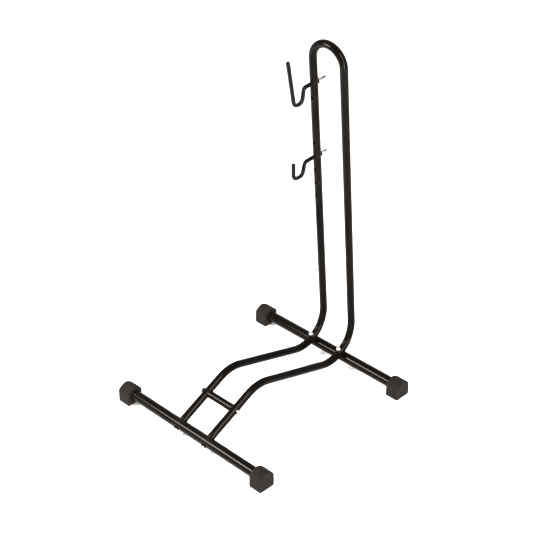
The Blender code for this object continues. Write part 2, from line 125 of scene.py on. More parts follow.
@dataclass(frozen=True)
class FlatPath:
    """Straight runs in a plane whose inner corners are rounded to arcs."""

    corners: Array
    radii: tuple[float, ...]

    def pieces(self) -> list[tuple]:
        """Straights and arcs in order.

        Returns:
            For a straight: ("run", length, start point, direction). For an arc: ("arc", length,
            centre, first angle, turn's sign, radius).
        """
        found = []
        start = self.corners[0]
        bends = zip(self.corners, self.corners[1:], self.corners[2:], self.radii)
        for before, corner, after, radius in bends:
            inward, outward = unit(corner - before), unit(after - corner)
            turn = atan2(inward[0] * outward[1] - inward[1] * outward[0], float(inward @ outward))
            sign = 1.0 if turn > 0 else -1.0
            cut_back = radius * tan(abs(turn) / 2)
            arc_start = corner - inward * cut_back
            found.append(("run", float(np.linalg.norm(arc_start - start)), start, inward))
            centre = arc_start + sign * radius * np.array([-inward[1], inward[0]])
            first = atan2(*(arc_start - centre)[::-1])
            found.append(("arc", radius * abs(turn), centre, first, sign, radius))
            start = corner + outward * cut_back
        last = self.corners[-1] - start
        found.append(("run", float(np.linalg.norm(last)), start, unit(last)))
        return found

    def length(self) -> float:
        """Length of the whole path."""
        return sum(piece[1] for piece in self.pieces())

    def at(self, distance: Array) -> tuple[Array, Array]:
        """Points and tangents at distances along the path; past an end its straight runs on.

        On an arc the point is centre + radius * (cos a, sin a), with a growing evenly with distance.

        Args:
            distance: Distances from the first corner, of any shape.

        Returns:
            Points and unit tangents, each with a last axis of 2.
        """
        points = np.zeros(distance.shape + (2,))
        tangents = np.zeros_like(points)
        pieces = self.pieces()
        begun = 0.0
        for index, piece in enumerate(pieces):
            low = -np.inf if index == 0 else begun
            high = np.inf if index == len(pieces) - 1 else begun + piece[1]
            inside = (distance >= low) & (distance < high)
            gone = distance[inside] - begun
            if piece[0] == "run":
                points[inside] = piece[2] + gone[:, None] * piece[3]
                tangents[inside] = piece[3]
            else:
                _, _, centre, first, sign, radius = piece
                angle = first + sign * gone / radius
                ray = np.stack([np.cos(angle), np.sin(angle)], axis=-1)
                points[inside] = centre + radius * ray
                tangents[inside] = sign * np.stack([-ray[:, 1], ray[:, 0]], axis=-1)
            begun += piece[1]
        return points, tangents

    def stations(self, turn_step: float, run_step: float) -> Array:
        """Distances that follow every arc by even turns and every straight by even runs.

        Args:
            turn_step: Largest turn between two stations on an arc, in radians.
            run_step: Largest gap between two stations on a straight.

        Returns:
            Rising distances from 0 to the path's length.
        """
        found = [np.zeros(1)]
        begun = 0.0
        for piece in self.pieces():
            step = run_step if piece[0] == "run" else turn_step * piece[5]
            count = max(1, int(np.ceil(piece[1] / step)))
            found.append(begun + piece[1] * np.arange(1, count + 1) / count)
            begun += piece[1]
        return np.concatenate(found)


# ---------------------------------------------------------------- surfaces


@dataclass
class Surface:
    """Points and the quads between them."""

    points: Array
    quads: Array

    @staticmethod
    def grid(points: Array, wrap: bool = True, keep: Array | None = None) -> "Surface":
        """Quads over a grid of points, row by row.

        Args:
            points: Shape (rows, columns, 3).
            wrap: Whether the last column joins the first.
            keep: Which cells exist, or None for all of them.

        Returns:
            The surface; its faces look along (column direction) x (row direction).
        """
        rows, columns = points.shape[:2]
        index = np.arange(rows * columns).reshape(rows, columns)
        onward = np.roll(index, -1, axis=1)
        if not wrap:
            index, onward = index[:, :-1], onward[:, :-1]
        quads = np.stack([index[:-1], onward[:-1], onward[1:], index[1:]], axis=-1)
        chosen = quads[keep] if keep is not None else quads.reshape(-1, 4)
        return Surface(points.reshape(-1, 3), chosen)

    @staticmethod
    def joined(parts: list["Surface"]) -> "Surface":
        """Several surfaces as one."""
        starts = np.cumsum([0] + [len(part.points) for part in parts[:-1]])
        quads = [part.quads + start for part, start in zip(parts, starts)]
        return Surface(np.concatenate([part.points for part in parts]), np.concatenate(quads))

    def welded(self) -> "Surface":
        """The same surface with points that coincide made one, and unused points left out."""
        rounded = np.round(self.points / (0.01 * MM)).astype(np.int64)
        _, first, inverse = np.unique(rounded, axis=0, return_index=True, return_inverse=True)
        quads = inverse.reshape(-1)[self.quads]
        used, quads = np.unique(quads, return_inverse=True)
        return Surface(self.points[first][used], quads.reshape(-1, 4))

    def outward(self) -> "Surface":
        """A closed surface turned so that its faces look outwards.

        The signed volume, a sixth of the sum of every triangle's a . (b x c), is below zero when
        they look inwards.
        """
        a, b, c, d = (self.points[self.quads[:, k]] for k in range(4))
        volume = (a * np.cross(b, c)).sum() + (a * np.cross(c, d)).sum()
        return self if volume > 0 else Surface(self.points, self.quads[:, ::-1])

    def polygons(self) -> list[list[int]]:
        """Faces as index lists, with a quad that has two corners in one place as a triangle."""
        same = self.quads == np.roll(self.quads, -1, axis=1)
        full = self.quads[~same.any(axis=1)]
        folded = self.quads[same.sum(axis=1) == 1]
        kept = ~same[same.sum(axis=1) == 1]
        return full.tolist() + folded[kept].reshape(-1, 3).tolist()


def revolved(radius: Array, height: Array, sides: int, axes: Axes) -> Surface:
    """Closed solid of revolution.

    A row's point stands at (radius * cos a, radius * sin a, height), with a even round the circle.
    A radius may be a row of numbers, one for each side, for shapes that aren't round.

    Args:
        radius: Radii from the bottom pole to the top pole, (rows,) or (rows, sides).
        height: Heights of the same rows.
        sides: Points round the circle.
        axes: Where the solid stands.

    Returns:
        The surface, closed by a pole at each end.
    """
    angle = np.linspace(0, 2 * pi, sides, endpoint=False)
    wide = radius if radius.ndim == 2 else np.repeat(radius[:, None], sides, axis=1)
    tall = np.repeat(height[:, None], sides, axis=1)
    wide = np.concatenate([wide[:1] * 0, wide, wide[-1:] * 0])
    tall = np.concatenate([tall[:1], tall, tall[-1:]])
    local = np.stack([wide * np.cos(angle), wide * np.sin(angle), tall], axis=-1)
    return Surface.grid(axes.world(local)).welded().outward()


def ring(radius: Array, height: Array, sides: int, axes: Axes) -> Surface:
    """Closed ring: a profile that comes back to its start, carried round the axes.

    Args:
        radius: Radii of the profile's points, (rows, 1) or (rows, sides).
        height: Heights of the same points, (rows, 1).
        sides: Points round the circle.
        axes: Where the ring stands.

    Returns:
        The surface.
    """
    angle = np.linspace(0, 2 * pi, sides, endpoint=False)[None, :]
    local = np.stack([radius * np.cos(angle), radius * np.sin(angle), height + 0 * angle], axis=-1)
    return Surface.grid(axes.world(local)).welded().outward()


def rounded_corner(start: tuple, corner: tuple, end: tuple, radius: float, steps: int = 5) -> Array:
    """Points of a profile's corner, rounded by an arc.

    Args:
        start: A point of the profile before the corner, (radius, height).
        corner: The corner.
        end: A point after it.
        radius: Radius of the arc.
        steps: Pieces that the arc is drawn in.

    Returns:
        Arc points, shape (steps + 1, 2).
    """
    path = FlatPath(np.array([start, corner, end], float), (radius,))
    run, arc = path.pieces()[:2]
    return path.at(run[1] + arc[1] * np.linspace(0, 1, steps + 1) * 0.99999)[0]


def hexagon(flats: float, sides: int) -> Array:
    """Radius of a hexagon round a circle: half its width over cos of the angle from a flat."""
    angle = np.linspace(0, 2 * pi, sides, endpoint=False)
    return flats / 2 / np.cos((angle + pi / 6) % (pi / 3) - pi / 6)


# ---------------------------------------------------------------- finishes


class Sketch:
    """One material's node tree, with short calls that add nodes and join them."""

    def __init__(self, name: str) -> None:
        """Starts the material with an output and a Principled shader.

        Args:
            name: The material's name.
        """
        self.material = bpy.data.materials.new(name)
        self.material.use_nodes = True
        self.tree = self.material.node_tree
        self.shader = self.tree.nodes["Principled BSDF"]
        self.place = self.add("ShaderNodeTexCoord").outputs["Object"]

    def add(self, kind: str, **settings: object) -> bpy.types.Node:
        """Adds a node and sets its properties."""
        node = self.tree.nodes.new(kind)
        for key, value in settings.items():
            setattr(node, key, value)
        return node

    def set(self, **values: object) -> None:
        """Sets sockets of the shader by name, with _ for a space."""
        for key, value in values.items():
            self.shader.inputs[key.replace("_", " ")].default_value = value

    def feed(self, source: bpy.types.NodeSocket, name: str) -> None:
        """Joins a socket to one of the shader's inputs."""
        self.tree.links.new(source, self.shader.inputs[name])

    def stretched(self, scale: tuple[float, float, float]) -> bpy.types.NodeSocket:
        """Object coordinates drawn out by a different scale along each axis."""
        node = self.add("ShaderNodeMapping")
        node.inputs["Scale"].default_value = scale
        self.tree.links.new(self.place, node.inputs["Vector"])
        return node.outputs["Vector"]

    def noise(self, scale: float, detail: float = 3.0, roughness: float = 0.5,
              place: bpy.types.NodeSocket | None = None) -> bpy.types.NodeSocket:
        """Noise of this many cells a metre.

        Args:
            scale: Cells in a metre.
            detail: Finer octaves on top.
            roughness: Weight of the finer octaves.
            place: Coordinates, or None for the object's own.

        Returns:
            The factor socket, from 0 to 1.
        """
        node = self.add("ShaderNodeTexNoise")
        node.inputs["Scale"].default_value = scale
        node.inputs["Detail"].default_value = detail
        node.inputs["Roughness"].default_value = roughness
        self.tree.links.new(place or self.place, node.inputs["Vector"])
        return node.outputs["Fac"]

    def ranged(self, source: bpy.types.NodeSocket, low: float, high: float, to_low: float,
               to_high: float) -> bpy.types.NodeSocket:
        """Maps a factor from low..high to to_low..to_high, smoothly and held at both ends."""
        node = self.add("ShaderNodeMapRange", interpolation_type="SMOOTHSTEP")
        limits = {"From Min": low, "From Max": high, "To Min": to_low, "To Max": to_high}
        for key, value in limits.items():
            node.inputs[key].default_value = value
        self.tree.links.new(source, node.inputs["Value"])
        return node.outputs["Result"]

    def maths(self, operation: str, first: bpy.types.NodeSocket,
              second: bpy.types.NodeSocket | float) -> bpy.types.NodeSocket:
        """One sum of two factors, or of a factor and a number."""
        node = self.add("ShaderNodeMath", operation=operation)
        self.tree.links.new(first, node.inputs[0])
        if isinstance(second, float):
            node.inputs[1].default_value = second
        else:
            self.tree.links.new(second, node.inputs[1])
        return node.outputs[0]

    def blend(self, factor: bpy.types.NodeSocket, first: object,
              second: object) -> bpy.types.NodeSocket:
        """A colour between two, each a colour or a socket."""
        node = self.add("ShaderNodeMix", data_type="RGBA")
        self.tree.links.new(factor, node.inputs["Factor"])
        for key, value in ((6, first), (7, second)):
            if isinstance(value, tuple):
                node.inputs[key].default_value = (*value, 1.0)
            else:
                self.tree.links.new(value, node.inputs[key])
        return node.outputs[2]

    def attribute(self, name: str) -> bpy.types.NodeSocket:
        """A number that the mesh carries at each point."""
        node = self.add("ShaderNodeAttribute", attribute_name=name)
        return node.outputs["Fac"]

    def bumped(self, heights: list[tuple[bpy.types.NodeSocket, float]]) -> None:
        """Relief on the shader's normal.

        Args:
            heights: Pairs of a factor and the depth in metres that it stands for.
        """
        normal = None
        for source, depth in heights:
            node = self.add("ShaderNodeBump")
            node.inputs["Strength"].default_value = 1.0
            node.inputs["Distance"].default_value = depth
            self.tree.links.new(source, node.inputs["Height"])
            if normal is not None:
                self.tree.links.new(normal, node.inputs["Normal"])
            normal = node.outputs["Normal"]
        self.feed(normal, "Normal")


@dataclass(frozen=True)
class PowderCoat:
    """Gloss black powder coat: faint orange peel, cloudy tone, dulled where it is rubbed."""

    deep: tuple[float, float, float] = (0.0010, 0.0008, 0.0006)
    pale: tuple[float, float, float] = (0.0022, 0.0017, 0.0014)
    rubbed: tuple[float, float, float] = (0.020, 0.017, 0.015)
    roughness: float = 0.125
    slot: str = "black_powder_coat"

    def material(self) -> bpy.types.Material:
        """Builds the node tree."""
        sketch = Sketch("powder_coat")
        cloud = sketch.noise(14.0, 4.0, 0.6)
        peel = sketch.noise(620.0, 2.0, 0.45)
        grain = sketch.noise(2600.0, 1.0, 0.5)
        streaks = sketch.noise(1.0, 5.0, 0.62, sketch.stretched((420.0, 60.0, 60.0)))
        worn = sketch.attribute("wear")
        patches = sketch.ranged(sketch.noise(900.0, 4.0, 0.7), 0.35, 0.65, 0.2, 1.0)
        patchy = sketch.maths("MULTIPLY", worn, patches)
        base = sketch.blend(sketch.ranged(cloud, 0.3, 0.7, 0.0, 1.0), self.deep, self.pale)
        sketch.feed(sketch.blend(patchy, base, self.rubbed), "Base Color")
        gloss = sketch.ranged(cloud, 0.25, 0.75, self.roughness - 0.035, self.roughness + 0.05)
        scuff = sketch.ranged(streaks, 0.60, 0.78, 0.0, 0.13)
        dulled = sketch.maths("MULTIPLY", patchy, 0.3)
        rough = sketch.maths("ADD", sketch.maths("ADD", gloss, scuff), dulled)
        sketch.feed(rough, "Roughness")
        sketch.bumped([(peel, 0.022 * MM), (grain, 0.003 * MM)])
        sketch.set(Specular_IOR_Level=0.056, Specular_Tint=(1.0, 0.88, 0.79, 1.0))
        return sketch.material


@dataclass(frozen=True)
class MouldedRubber:
    """Matt black rubber: bloomed patches, a fine spark-eroded grain and polished edges."""

    deep: tuple[float, float, float] = (0.0034, 0.0029, 0.0026)
    bloom: tuple[float, float, float] = (0.0135, 0.0115, 0.0100)
    edge: tuple[float, float, float] = (0.016, 0.0138, 0.0122)
    slot: str = "black_rubber"

    def material(self) -> bpy.types.Material:
        """Builds the node tree."""
        sketch = Sketch("moulded_rubber")
        cloud = sketch.noise(85.0, 5.0, 0.62)
        speck = sketch.noise(1500.0, 3.0, 0.6)
        pits = sketch.noise(5200.0, 2.0, 0.5)
        blotches = sketch.ranged(cloud, 0.32, 0.68, 0.25, 1.0)
        speckle = sketch.ranged(sketch.noise(430.0, 3.0, 0.65), 0.35, 0.66, 0.15, 1.0)
        mottle = sketch.maths("MULTIPLY", blotches, speckle)
        base = sketch.blend(mottle, self.deep, self.bloom)
        broken = sketch.ranged(speck, 0.3, 0.6, 0.25, 1.0)
        edges = sketch.maths("MULTIPLY", sketch.attribute("wear"), broken)
        sketch.feed(sketch.blend(edges, base, self.edge), "Base Color")
        dull = sketch.ranged(cloud, 0.3, 0.7, 0.56, 0.74)
        polish = sketch.maths("MULTIPLY", edges, 0.12)
        sketch.feed(sketch.maths("SUBTRACT", dull, polish), "Roughness")
        sketch.bumped([(speck, 0.09 * MM), (pits, 0.02 * MM)])
        sketch.set(Specular_IOR_Level=0.06, Specular_Tint=(1.0, 0.9, 0.83, 1.0))
        return sketch.material


@dataclass(frozen=True)
class BrightZinc:
    """Bright zinc plate on steel: cool and yellowish patches, fine scratches, painted shade in the
    thread roots.
    """

    cool: tuple[float, float, float] = (0.63, 0.64, 0.66)
    warm: tuple[float, float, float] = (0.58, 0.56, 0.51)
    # root: near-black that the wear attribute mixes in; on threads it is painted shade in the roots.
    root: tuple[float, float, float] = (0.045, 0.042, 0.040)
    slot: str = "bright_zinc"

    def material(self) -> bpy.types.Material:
        """Builds the node tree."""
        sketch = Sketch("bright_zinc_plate")
        cloud = sketch.noise(240.0, 4.0, 0.6)
        fine = sketch.noise(4200.0, 3.0, 0.55)
        scratch = sketch.noise(1.0, 3.0, 0.6, sketch.stretched((900.0, 6500.0, 900.0)))
        plate = sketch.blend(sketch.ranged(cloud, 0.35, 0.68, 0.0, 1.0), self.cool, self.warm)
        # The wear attribute mixes in the root colour: painted shade in thread roots, and a flat
        # darkening on hook threads.
        sketch.feed(sketch.blend(sketch.attribute("wear"), plate, self.root), "Base Color")
        rough = sketch.maths("ADD", sketch.ranged(cloud, 0.3, 0.7, 0.16, 0.27),
                             sketch.ranged(scratch, 0.58, 0.74, 0.0, 0.14))
        dirty = sketch.maths("MULTIPLY", sketch.attribute("wear"), 0.25)
        sketch.feed(sketch.maths("ADD", rough, dirty), "Roughness")
        sketch.bumped([(fine, 0.004 * MM), (scratch, 0.004 * MM)])
        sketch.set(Metallic=1.0)
        return sketch.material


@dataclass(frozen=True)
class DippedVinyl:
    """Black vinyl that a rod was dipped in: wet-looking, uneven, scuffed where it bears."""

    deep: tuple[float, float, float] = (0.0009, 0.0008, 0.0008)
    pale: tuple[float, float, float] = (0.0021, 0.0019, 0.0018)
    scuffed: tuple[float, float, float] = (0.028, 0.026, 0.025)
    slot: str = "black_vinyl"

    def material(self) -> bpy.types.Material:
        """Builds the node tree."""
        sketch = Sketch("dipped_vinyl")
        lumps = sketch.noise(160.0, 2.0, 0.5)
        ripple = sketch.noise(900.0, 2.0, 0.5)
        broken = sketch.ranged(sketch.noise(1300.0, 4.0, 0.7), 0.45, 0.65, 0.0, 1.0)
        scuffs = sketch.maths("MULTIPLY", sketch.attribute("wear"), broken)
        base = sketch.blend(sketch.ranged(lumps, 0.3, 0.7, 0.0, 1.0), self.deep, self.pale)
        sketch.feed(sketch.blend(scuffs, base, self.scuffed), "Base Color")
        gloss = sketch.ranged(ripple, 0.3, 0.7, 0.15, 0.22)
        sketch.feed(sketch.maths("ADD", gloss, sketch.maths("MULTIPLY", scuffs, 0.35)), "Roughness")
        sketch.bumped([(lumps, 0.10 * MM), (ripple, 0.012 * MM)])
        sketch.set(Specular_IOR_Level=0.075, Specular_Tint=(1.0, 0.9, 0.83, 1.0))
        return sketch.material


@dataclass(frozen=True)
class PaleFloor:
    """Plain pale studio floor."""

    colour: tuple[float, float, float] = (0.92, 0.92, 0.92)

    def material(self) -> bpy.types.Material:
        """Builds the node tree."""
        sketch = Sketch("pale_floor")
        sketch.set(Base_Color=(*self.colour, 1.0), Roughness=0.9)
        return sketch.material


class Finish(Enum):
    """The finishes that the stand's pieces come in."""

    PAINT = PowderCoat()
    RUBBER = MouldedRubber()
    ZINC = BrightZinc()
    VINYL = DippedVinyl()


class Workshop:
    """Turns surfaces into finished pieces, and keeps one material for each finish."""

    def __init__(self) -> None:
        """Starts with no materials made."""
        self.materials: dict[Finish, bpy.types.Material] = {}

    def material(self, finish: Finish) -> bpy.types.Material:
        """The material of a finish, made when it is first asked for."""
        if finish not in self.materials:
            self.materials[finish] = finish.value.material()
        return self.materials[finish]

    def piece(self, name: str, surface: Surface, finish: Finish, body: str, nodes: tuple[str, ...],
              wear: Array | None = None, crease: float = 40.0) -> bpy.types.Object:
        """Puts a surface into the scene in place of its nodes.

        Args:
            name: The piece's name.
            surface: Its shape, in the stand's frame.
            finish: What it is coated in.
            body: The moving body that it rides on.
            nodes: The nodes it stands for.
            wear: A number at each point, 0 where untouched and 1 where most worn; on zinc threads it
                darkens them instead, with painted shade in the roots.
            crease: Edges that turn more than this many degrees stay sharp.

        Returns:
            The new object.
        """
        mesh = bpy.data.meshes.new(name)
        mesh.from_pydata(surface.points.tolist(), [], surface.polygons())
        mesh.polygons.foreach_set("use_smooth", np.ones(len(mesh.polygons), bool))
        mesh.set_sharp_from_angle(angle=radians(crease))
        # The wear attribute holds real wear, and on zinc threads painted shade in the roots.
        carried = mesh.attributes.new("wear", "FLOAT", "POINT")
        amount = np.zeros(len(surface.points)) if wear is None else wear
        carried.data.foreach_set("value", amount.astype(np.float32))
        mesh.materials.append(self.material(finish))
        mesh.update()
        made = bpy.data.objects.new(name, mesh)
        bpy.context.scene.collection.objects.link(made)
        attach(made, body)
        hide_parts(*nodes)
        LOG.info("%s: %d faces on %s", name, len(mesh.polygons), body)
        return made

    def redress(self, node: str, finish: Finish) -> None:
        """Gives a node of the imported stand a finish."""
        held = frame["nodes"][node]
        held.data.materials.clear()
        held.data.materials.append(self.material(finish))
        LOG.info("%s: keeps its own shape", node)


def soften(piece: bpy.types.Object, width: float, segments: int = 2) -> None:
    """Rounds a piece's sharp edges with a bevel of this width."""
    bevel = piece.modifiers.new("soft_edges", "BEVEL")
    bevel.width = width
    bevel.segments = segments
    bevel.limit_method = "ANGLE"
    bevel.angle_limit = radians(50)


def hollow(piece: bpy.types.Object, wall: float) -> None:
    """Gives an outer skin its wall, inwards, and rounds the rims."""
    thicken = piece.modifiers.new("wall", "SOLIDIFY")
    thicken.thickness = wall
    thicken.offset = -1
    soften(piece, 0.25 * MM)


def nearness(points: Array, centre: Array, reach: float) -> Array:
    """1 at a centre, falling smoothly to 0 at this reach."""
    share = np.clip(1 - np.linalg.norm(points - centre, axis=1) / reach, 0, 1)
    return share * share * (3 - 2 * share)


# ---------------------------------------------------------------- the bent frame tube


@dataclass
class FrameTube:
    """The one long tube: drop, hump, saddle, heel, upright and loop, on both sides.

    Its side outline is straight runs and arcs in the YZ plane. Seven holes go through the left
    upright from front to back.
    """

    hump_run: float = 0.138
    hump_rise: float = 0.067
    hump_radius: float = 0.075
    saddle_radius: float = 0.068
    saddle_tilt: float = radians(30.5)
    heel_slope: float = radians(52)
    heel_reach: float = 0.024
    heel_radius: float = 0.075
    wall: float = 1.2 * MM
    clearance: float = 0.3 * MM
    hole_radius: float = 3.3 * MM
    hole_pitch: float = 30.0 * MM
    holes_below: int = 3
    holes_above: int = 1
    block: float = 2.5 * MM
    patch: float = 5.0 * MM
    cells: int = 16
    side_cells: int = 14

    def __post_init__(self) -> None:
        """Reads the tube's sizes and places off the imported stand."""
        self.radius = extent_of("brace_tube")[2] / 2
        self.spacing = extent_of("main_frame_tube")[0] - 2 * self.radius
        self.front = centre_of("front_cross_tube")
        self.rear = centre_of("rear_cross_tube")
        self.cross_radius = extent_of("front_cross_tube")[2] / 2
        self.top = float(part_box("main_frame_tube")[1][2])
        swivels = {joint["name"]: joint for joint in frame["joints"]}
        self.upper_hole = np.array(swivels["upper_hook_swivel"]["pos_m"])
        self.lower_hole = np.array(swivels["lower_hook_swivel"]["pos_m"])
        climb = self.upper_hole - self.lower_hole
        self.lean = atan2(-climb[1], climb[2])
        radii = (self.hump_radius, self.saddle_radius, self.heel_radius)
        self.path = FlatPath(self.corners(), radii)

    def corners(self) -> Array:
        """Corners of a leg's axis as (y, z), from the front tube's axis to the loop's shoulder.

        The saddle's centre stands off the rear tube along the contact direction; the rise runs
        from the hump's corner as a tangent to the saddle's arc, and the heel's slope leaves it.
        """
        front, rear = self.front[1:], self.rear[1:]
        hump = front + np.array([self.hump_run, self.hump_rise])
        seat = self.radius + self.cross_radius + self.clearance
        contact = np.array([-sin(self.saddle_tilt), cos(self.saddle_tilt)])
        centre = rear + contact * (self.saddle_radius + seat)
        reach = centre - hump
        rise = atan2(reach[1], reach[0]) - asin(self.saddle_radius / hypot(*reach))
        middle, half_turn = (rise + self.heel_slope) / 2, (self.heel_slope - rise) / 2
        corner_reach = self.saddle_radius / cos(half_turn)
        saddle = centre - np.array([-sin(middle), cos(middle)]) * corner_reach
        run = rear[0] + self.heel_reach - saddle[0]
        heel = saddle + run * np.array([1.0, tan(self.heel_slope)])
        shoulder_height = self.top - self.radius - self.spacing / 2 * cos(self.lean)
        climb = shoulder_height - heel[1]
        shoulder = heel + climb * np.array([-tan(self.lean), 1.0])
        return np.array([front, hump, saddle, heel, shoulder])

    def hole_distances(self) -> Array:
        """Distances along the leg's path of every hook hole."""
        shoulder = self.path.corners[-1]
        end = self.path.length()
        lower = end - hypot(*(shoulder - self.lower_hole[1:]))
        upper = end - hypot(*(shoulder - self.upper_hole[1:]))
        step = self.hole_pitch / cos(self.lean)
        below = lower + step * np.arange(-self.holes_below, self.holes_above + 1)
        return np.concatenate([below, [upper - step, upper]])

    def columns(self) -> Array:
        """Angles round the tube, from the front, with even steps across the drilled patches."""
        edge = asin(self.patch / self.radius)
        steps = np.linspace(-self.patch, self.patch, self.cells + 1)
        ahead = np.arcsin(steps / self.radius)
        side = np.linspace(edge, pi - edge, self.side_cells + 1)[1:-1]
        behind = pi - np.arcsin(steps[::-1] / self.radius)
        return np.concatenate([ahead, side, behind, side + pi])

    def rows(self, drilled: bool) -> Array:
        """Distances of the rings along a leg, closer over each hole where it is drilled."""
        rings = self.path.stations(radians(3), 12 * MM)
        rings = rings[rings > self.cross_radius + 3 * MM]
        if drilled:
            steps = np.linspace(-self.patch, self.patch, self.cells + 1)
            near = self.hole_distances()[:, None] + steps
            clear = np.abs(rings[:, None] - self.hole_distances()).min(axis=1) > 1.3 * self.patch
            rings = np.sort(np.concatenate([rings[clear], near.ravel()]))
        return np.concatenate([[0.0], rings])

    def drilled(self, distance: Array, angle: Array) -> tuple[Array, Array, Array]:
        """Draws the grid round every hole.

        With u = radius * sin(angle) across and v along, the square ring between the block and
        the patch is drawn to a round one: a point's distance from the hole's middle goes from
        the hole's radius at the block's edge to its own at the patch's edge.

        Args:
            distance: Distances along the path, (rows, columns).
            angle: Angles round the tube, (rows, columns).

        Returns:
            The drawn distances and angles, and which cells are left.
        """
        distance, angle = distance.copy(), angle.copy()
        ahead = np.cos(angle) > 0
        u = self.radius * np.sin(angle)
        solid = np.ones((distance.shape[0] - 1, distance.shape[1]), bool)
        for hole in self.hole_distances():
            v = distance - hole
            square = np.maximum(np.abs(u), np.abs(v))
            inside = square < self.patch - 1e-6
            share = np.clip((square - self.block) / (self.patch - self.block), 0, 1)
            far = np.hypot(u, v) + 1e-12
            pull = np.where(inside, (self.hole_radius * (1 - share) + far * share) / far, 1.0)
            middle = self.cell_middles(u), self.cell_middles(v)
            solid &= np.maximum(np.abs(middle[0]), np.abs(middle[1])) > self.block
            drawn = np.arcsin(np.clip(u * pull / self.radius, -1, 1))
            angle = np.where(inside, np.where(ahead, drawn, pi - drawn), angle)
            distance = np.where(inside, hole + v * pull, distance)
        return distance, angle, solid

    @staticmethod
    def cell_middles(values: Array) -> Array:
        """Mean of each cell's four corners on a grid whose columns wrap."""
        beside = np.roll(values, -1, axis=1)
        return (values[:-1] + beside[:-1] + values[1:] + beside[1:]) / 4

    def leg(self, drilled: bool) -> tuple[Array, Array]:
        """Rings of the left leg, from the cope on the front tube up to the loop.

        A ring's point stands off the axis by radius * (cos a * front side + sin a * X). The first
        ring lies on the front tube's own surface: it starts sqrt(reach^2 - (r cos a)^2) from the
        front tube's axis.

        Args:
            drilled: Whether the hook holes are cut.

        Returns:
            Points (rows, columns, 3) and which cells are left.
        """
        distance, angle = np.meshgrid(self.rows(drilled), self.columns(), indexing="ij")
        solid = np.ones((distance.shape[0] - 1, distance.shape[1]), bool)
        if drilled:
            distance, angle, solid = self.drilled(distance, angle)
        reach = self.cross_radius + self.clearance
        distance[0] = np.sqrt(reach**2 - (self.radius * np.cos(angle[0])) ** 2)
        middle, tangent = self.path.at(distance)
        front = np.stack([-tangent[..., 1], tangent[..., 0]], axis=-1)
        flat = middle + self.radius * np.cos(angle)[..., None] * front
        across = -self.spacing / 2 + self.radius * np.sin(angle)
        return np.concatenate([across[..., None], flat], axis=-1), solid

    def loop(self) -> Array:
        """Rings over the top: a half circle between the legs, in the plane of the uprights."""
        turn = np.radians(np.arange(3, 180, 3))[:, None]
        angle = self.columns()[None, :]
        ahead = -in_side_plane(self.lean)
        up = np.array([0.0, -sin(self.lean), cos(self.lean)])
        inward = np.cos(turn)[..., None] * X_AXIS - np.sin(turn)[..., None] * up
        middle = np.array([0.0, *self.path.corners[-1]])
        return (middle + inward * (self.radius * np.sin(angle) - self.spacing / 2)[..., None]
                + self.radius * np.cos(angle)[..., None] * ahead)

    def surface(self) -> Surface:
        """The outer skin of the whole tube."""
        left, left_solid = self.leg(True)
        right, right_solid = self.leg(False)
        loop = self.loop()
        points = np.concatenate([left, loop, right[::-1] * np.array([-1.0, 1.0, 1.0])])
        between = np.ones((len(loop) + 1, points.shape[1]), bool)
        solid = np.concatenate([left_solid, between, right_solid[::-1]])
        return Surface.grid(points, keep=solid).welded()

    def wear(self, points: Array) -> Array:
        """Rubbed places: round the hook holes, on the saddles and at the copes."""
        worn = np.zeros(len(points))
        for hole in self.hole_distances():
            middle = np.array([-self.spacing / 2, *self.path.at(np.array([hole]))[0][0]])
            worn = np.maximum(worn, 0.55 * nearness(points, middle, 13 * MM))
        for side in (-1, 1):
            for place, reach in ((self.front, 22 * MM), (self.rear, 27 * MM)):
                spot = place + side * self.spacing / 2 * X_AXIS
                worn = np.maximum(worn, 0.5 * nearness(points, spot, reach))
        return worn

    def build(self, shop: Workshop) -> None:
        """Makes the tube with its wall and softened rims."""
        skin = self.surface()
        piece = shop.piece("frame_tube", skin, Finish.PAINT, "stand", ("main_frame_tube",),
                           self.wear(skin.points))
        hollow(piece, self.wall)


# ---------------------------------------------------------------- base: cross tubes, brace, feet


@dataclass
class CrossTube:
    """A straight tube along X, its ends inside the feet."""

    row: str
    sides: int = 72
    spacing: float = 8 * MM

    def __post_init__(self) -> None:
        """Reads the tube's place and size."""
        self.node = f"{self.row}_cross_tube"
        self.middle = centre_of(self.node)
        self.length, _, height = extent_of(self.node)
        self.radius = height / 2

    def build(self, shop: Workshop) -> None:
        """Makes the tube as a closed bar of revolution about X."""
        count = int(self.length / self.spacing)
        height = np.linspace(-self.length / 2, self.length / 2, count)
        axes = Axes.pointing(self.middle, X_AXIS)
        surface = revolved(np.full(count, self.radius), height, self.sides, axes)
        worn = np.zeros(len(surface.points))
        for side in ("left", "right"):
            seat = centre_of(f"{self.row}_bolt_washer_{side}")
            spot = np.array([seat[0], *self.middle[1:]])
            worn = np.maximum(worn, 0.45 * nearness(surface.points, spot, 24 * MM))
        shop.piece(f"{self.row}_cross_bar", surface, Finish.PAINT, "stand", (self.node,), worn)


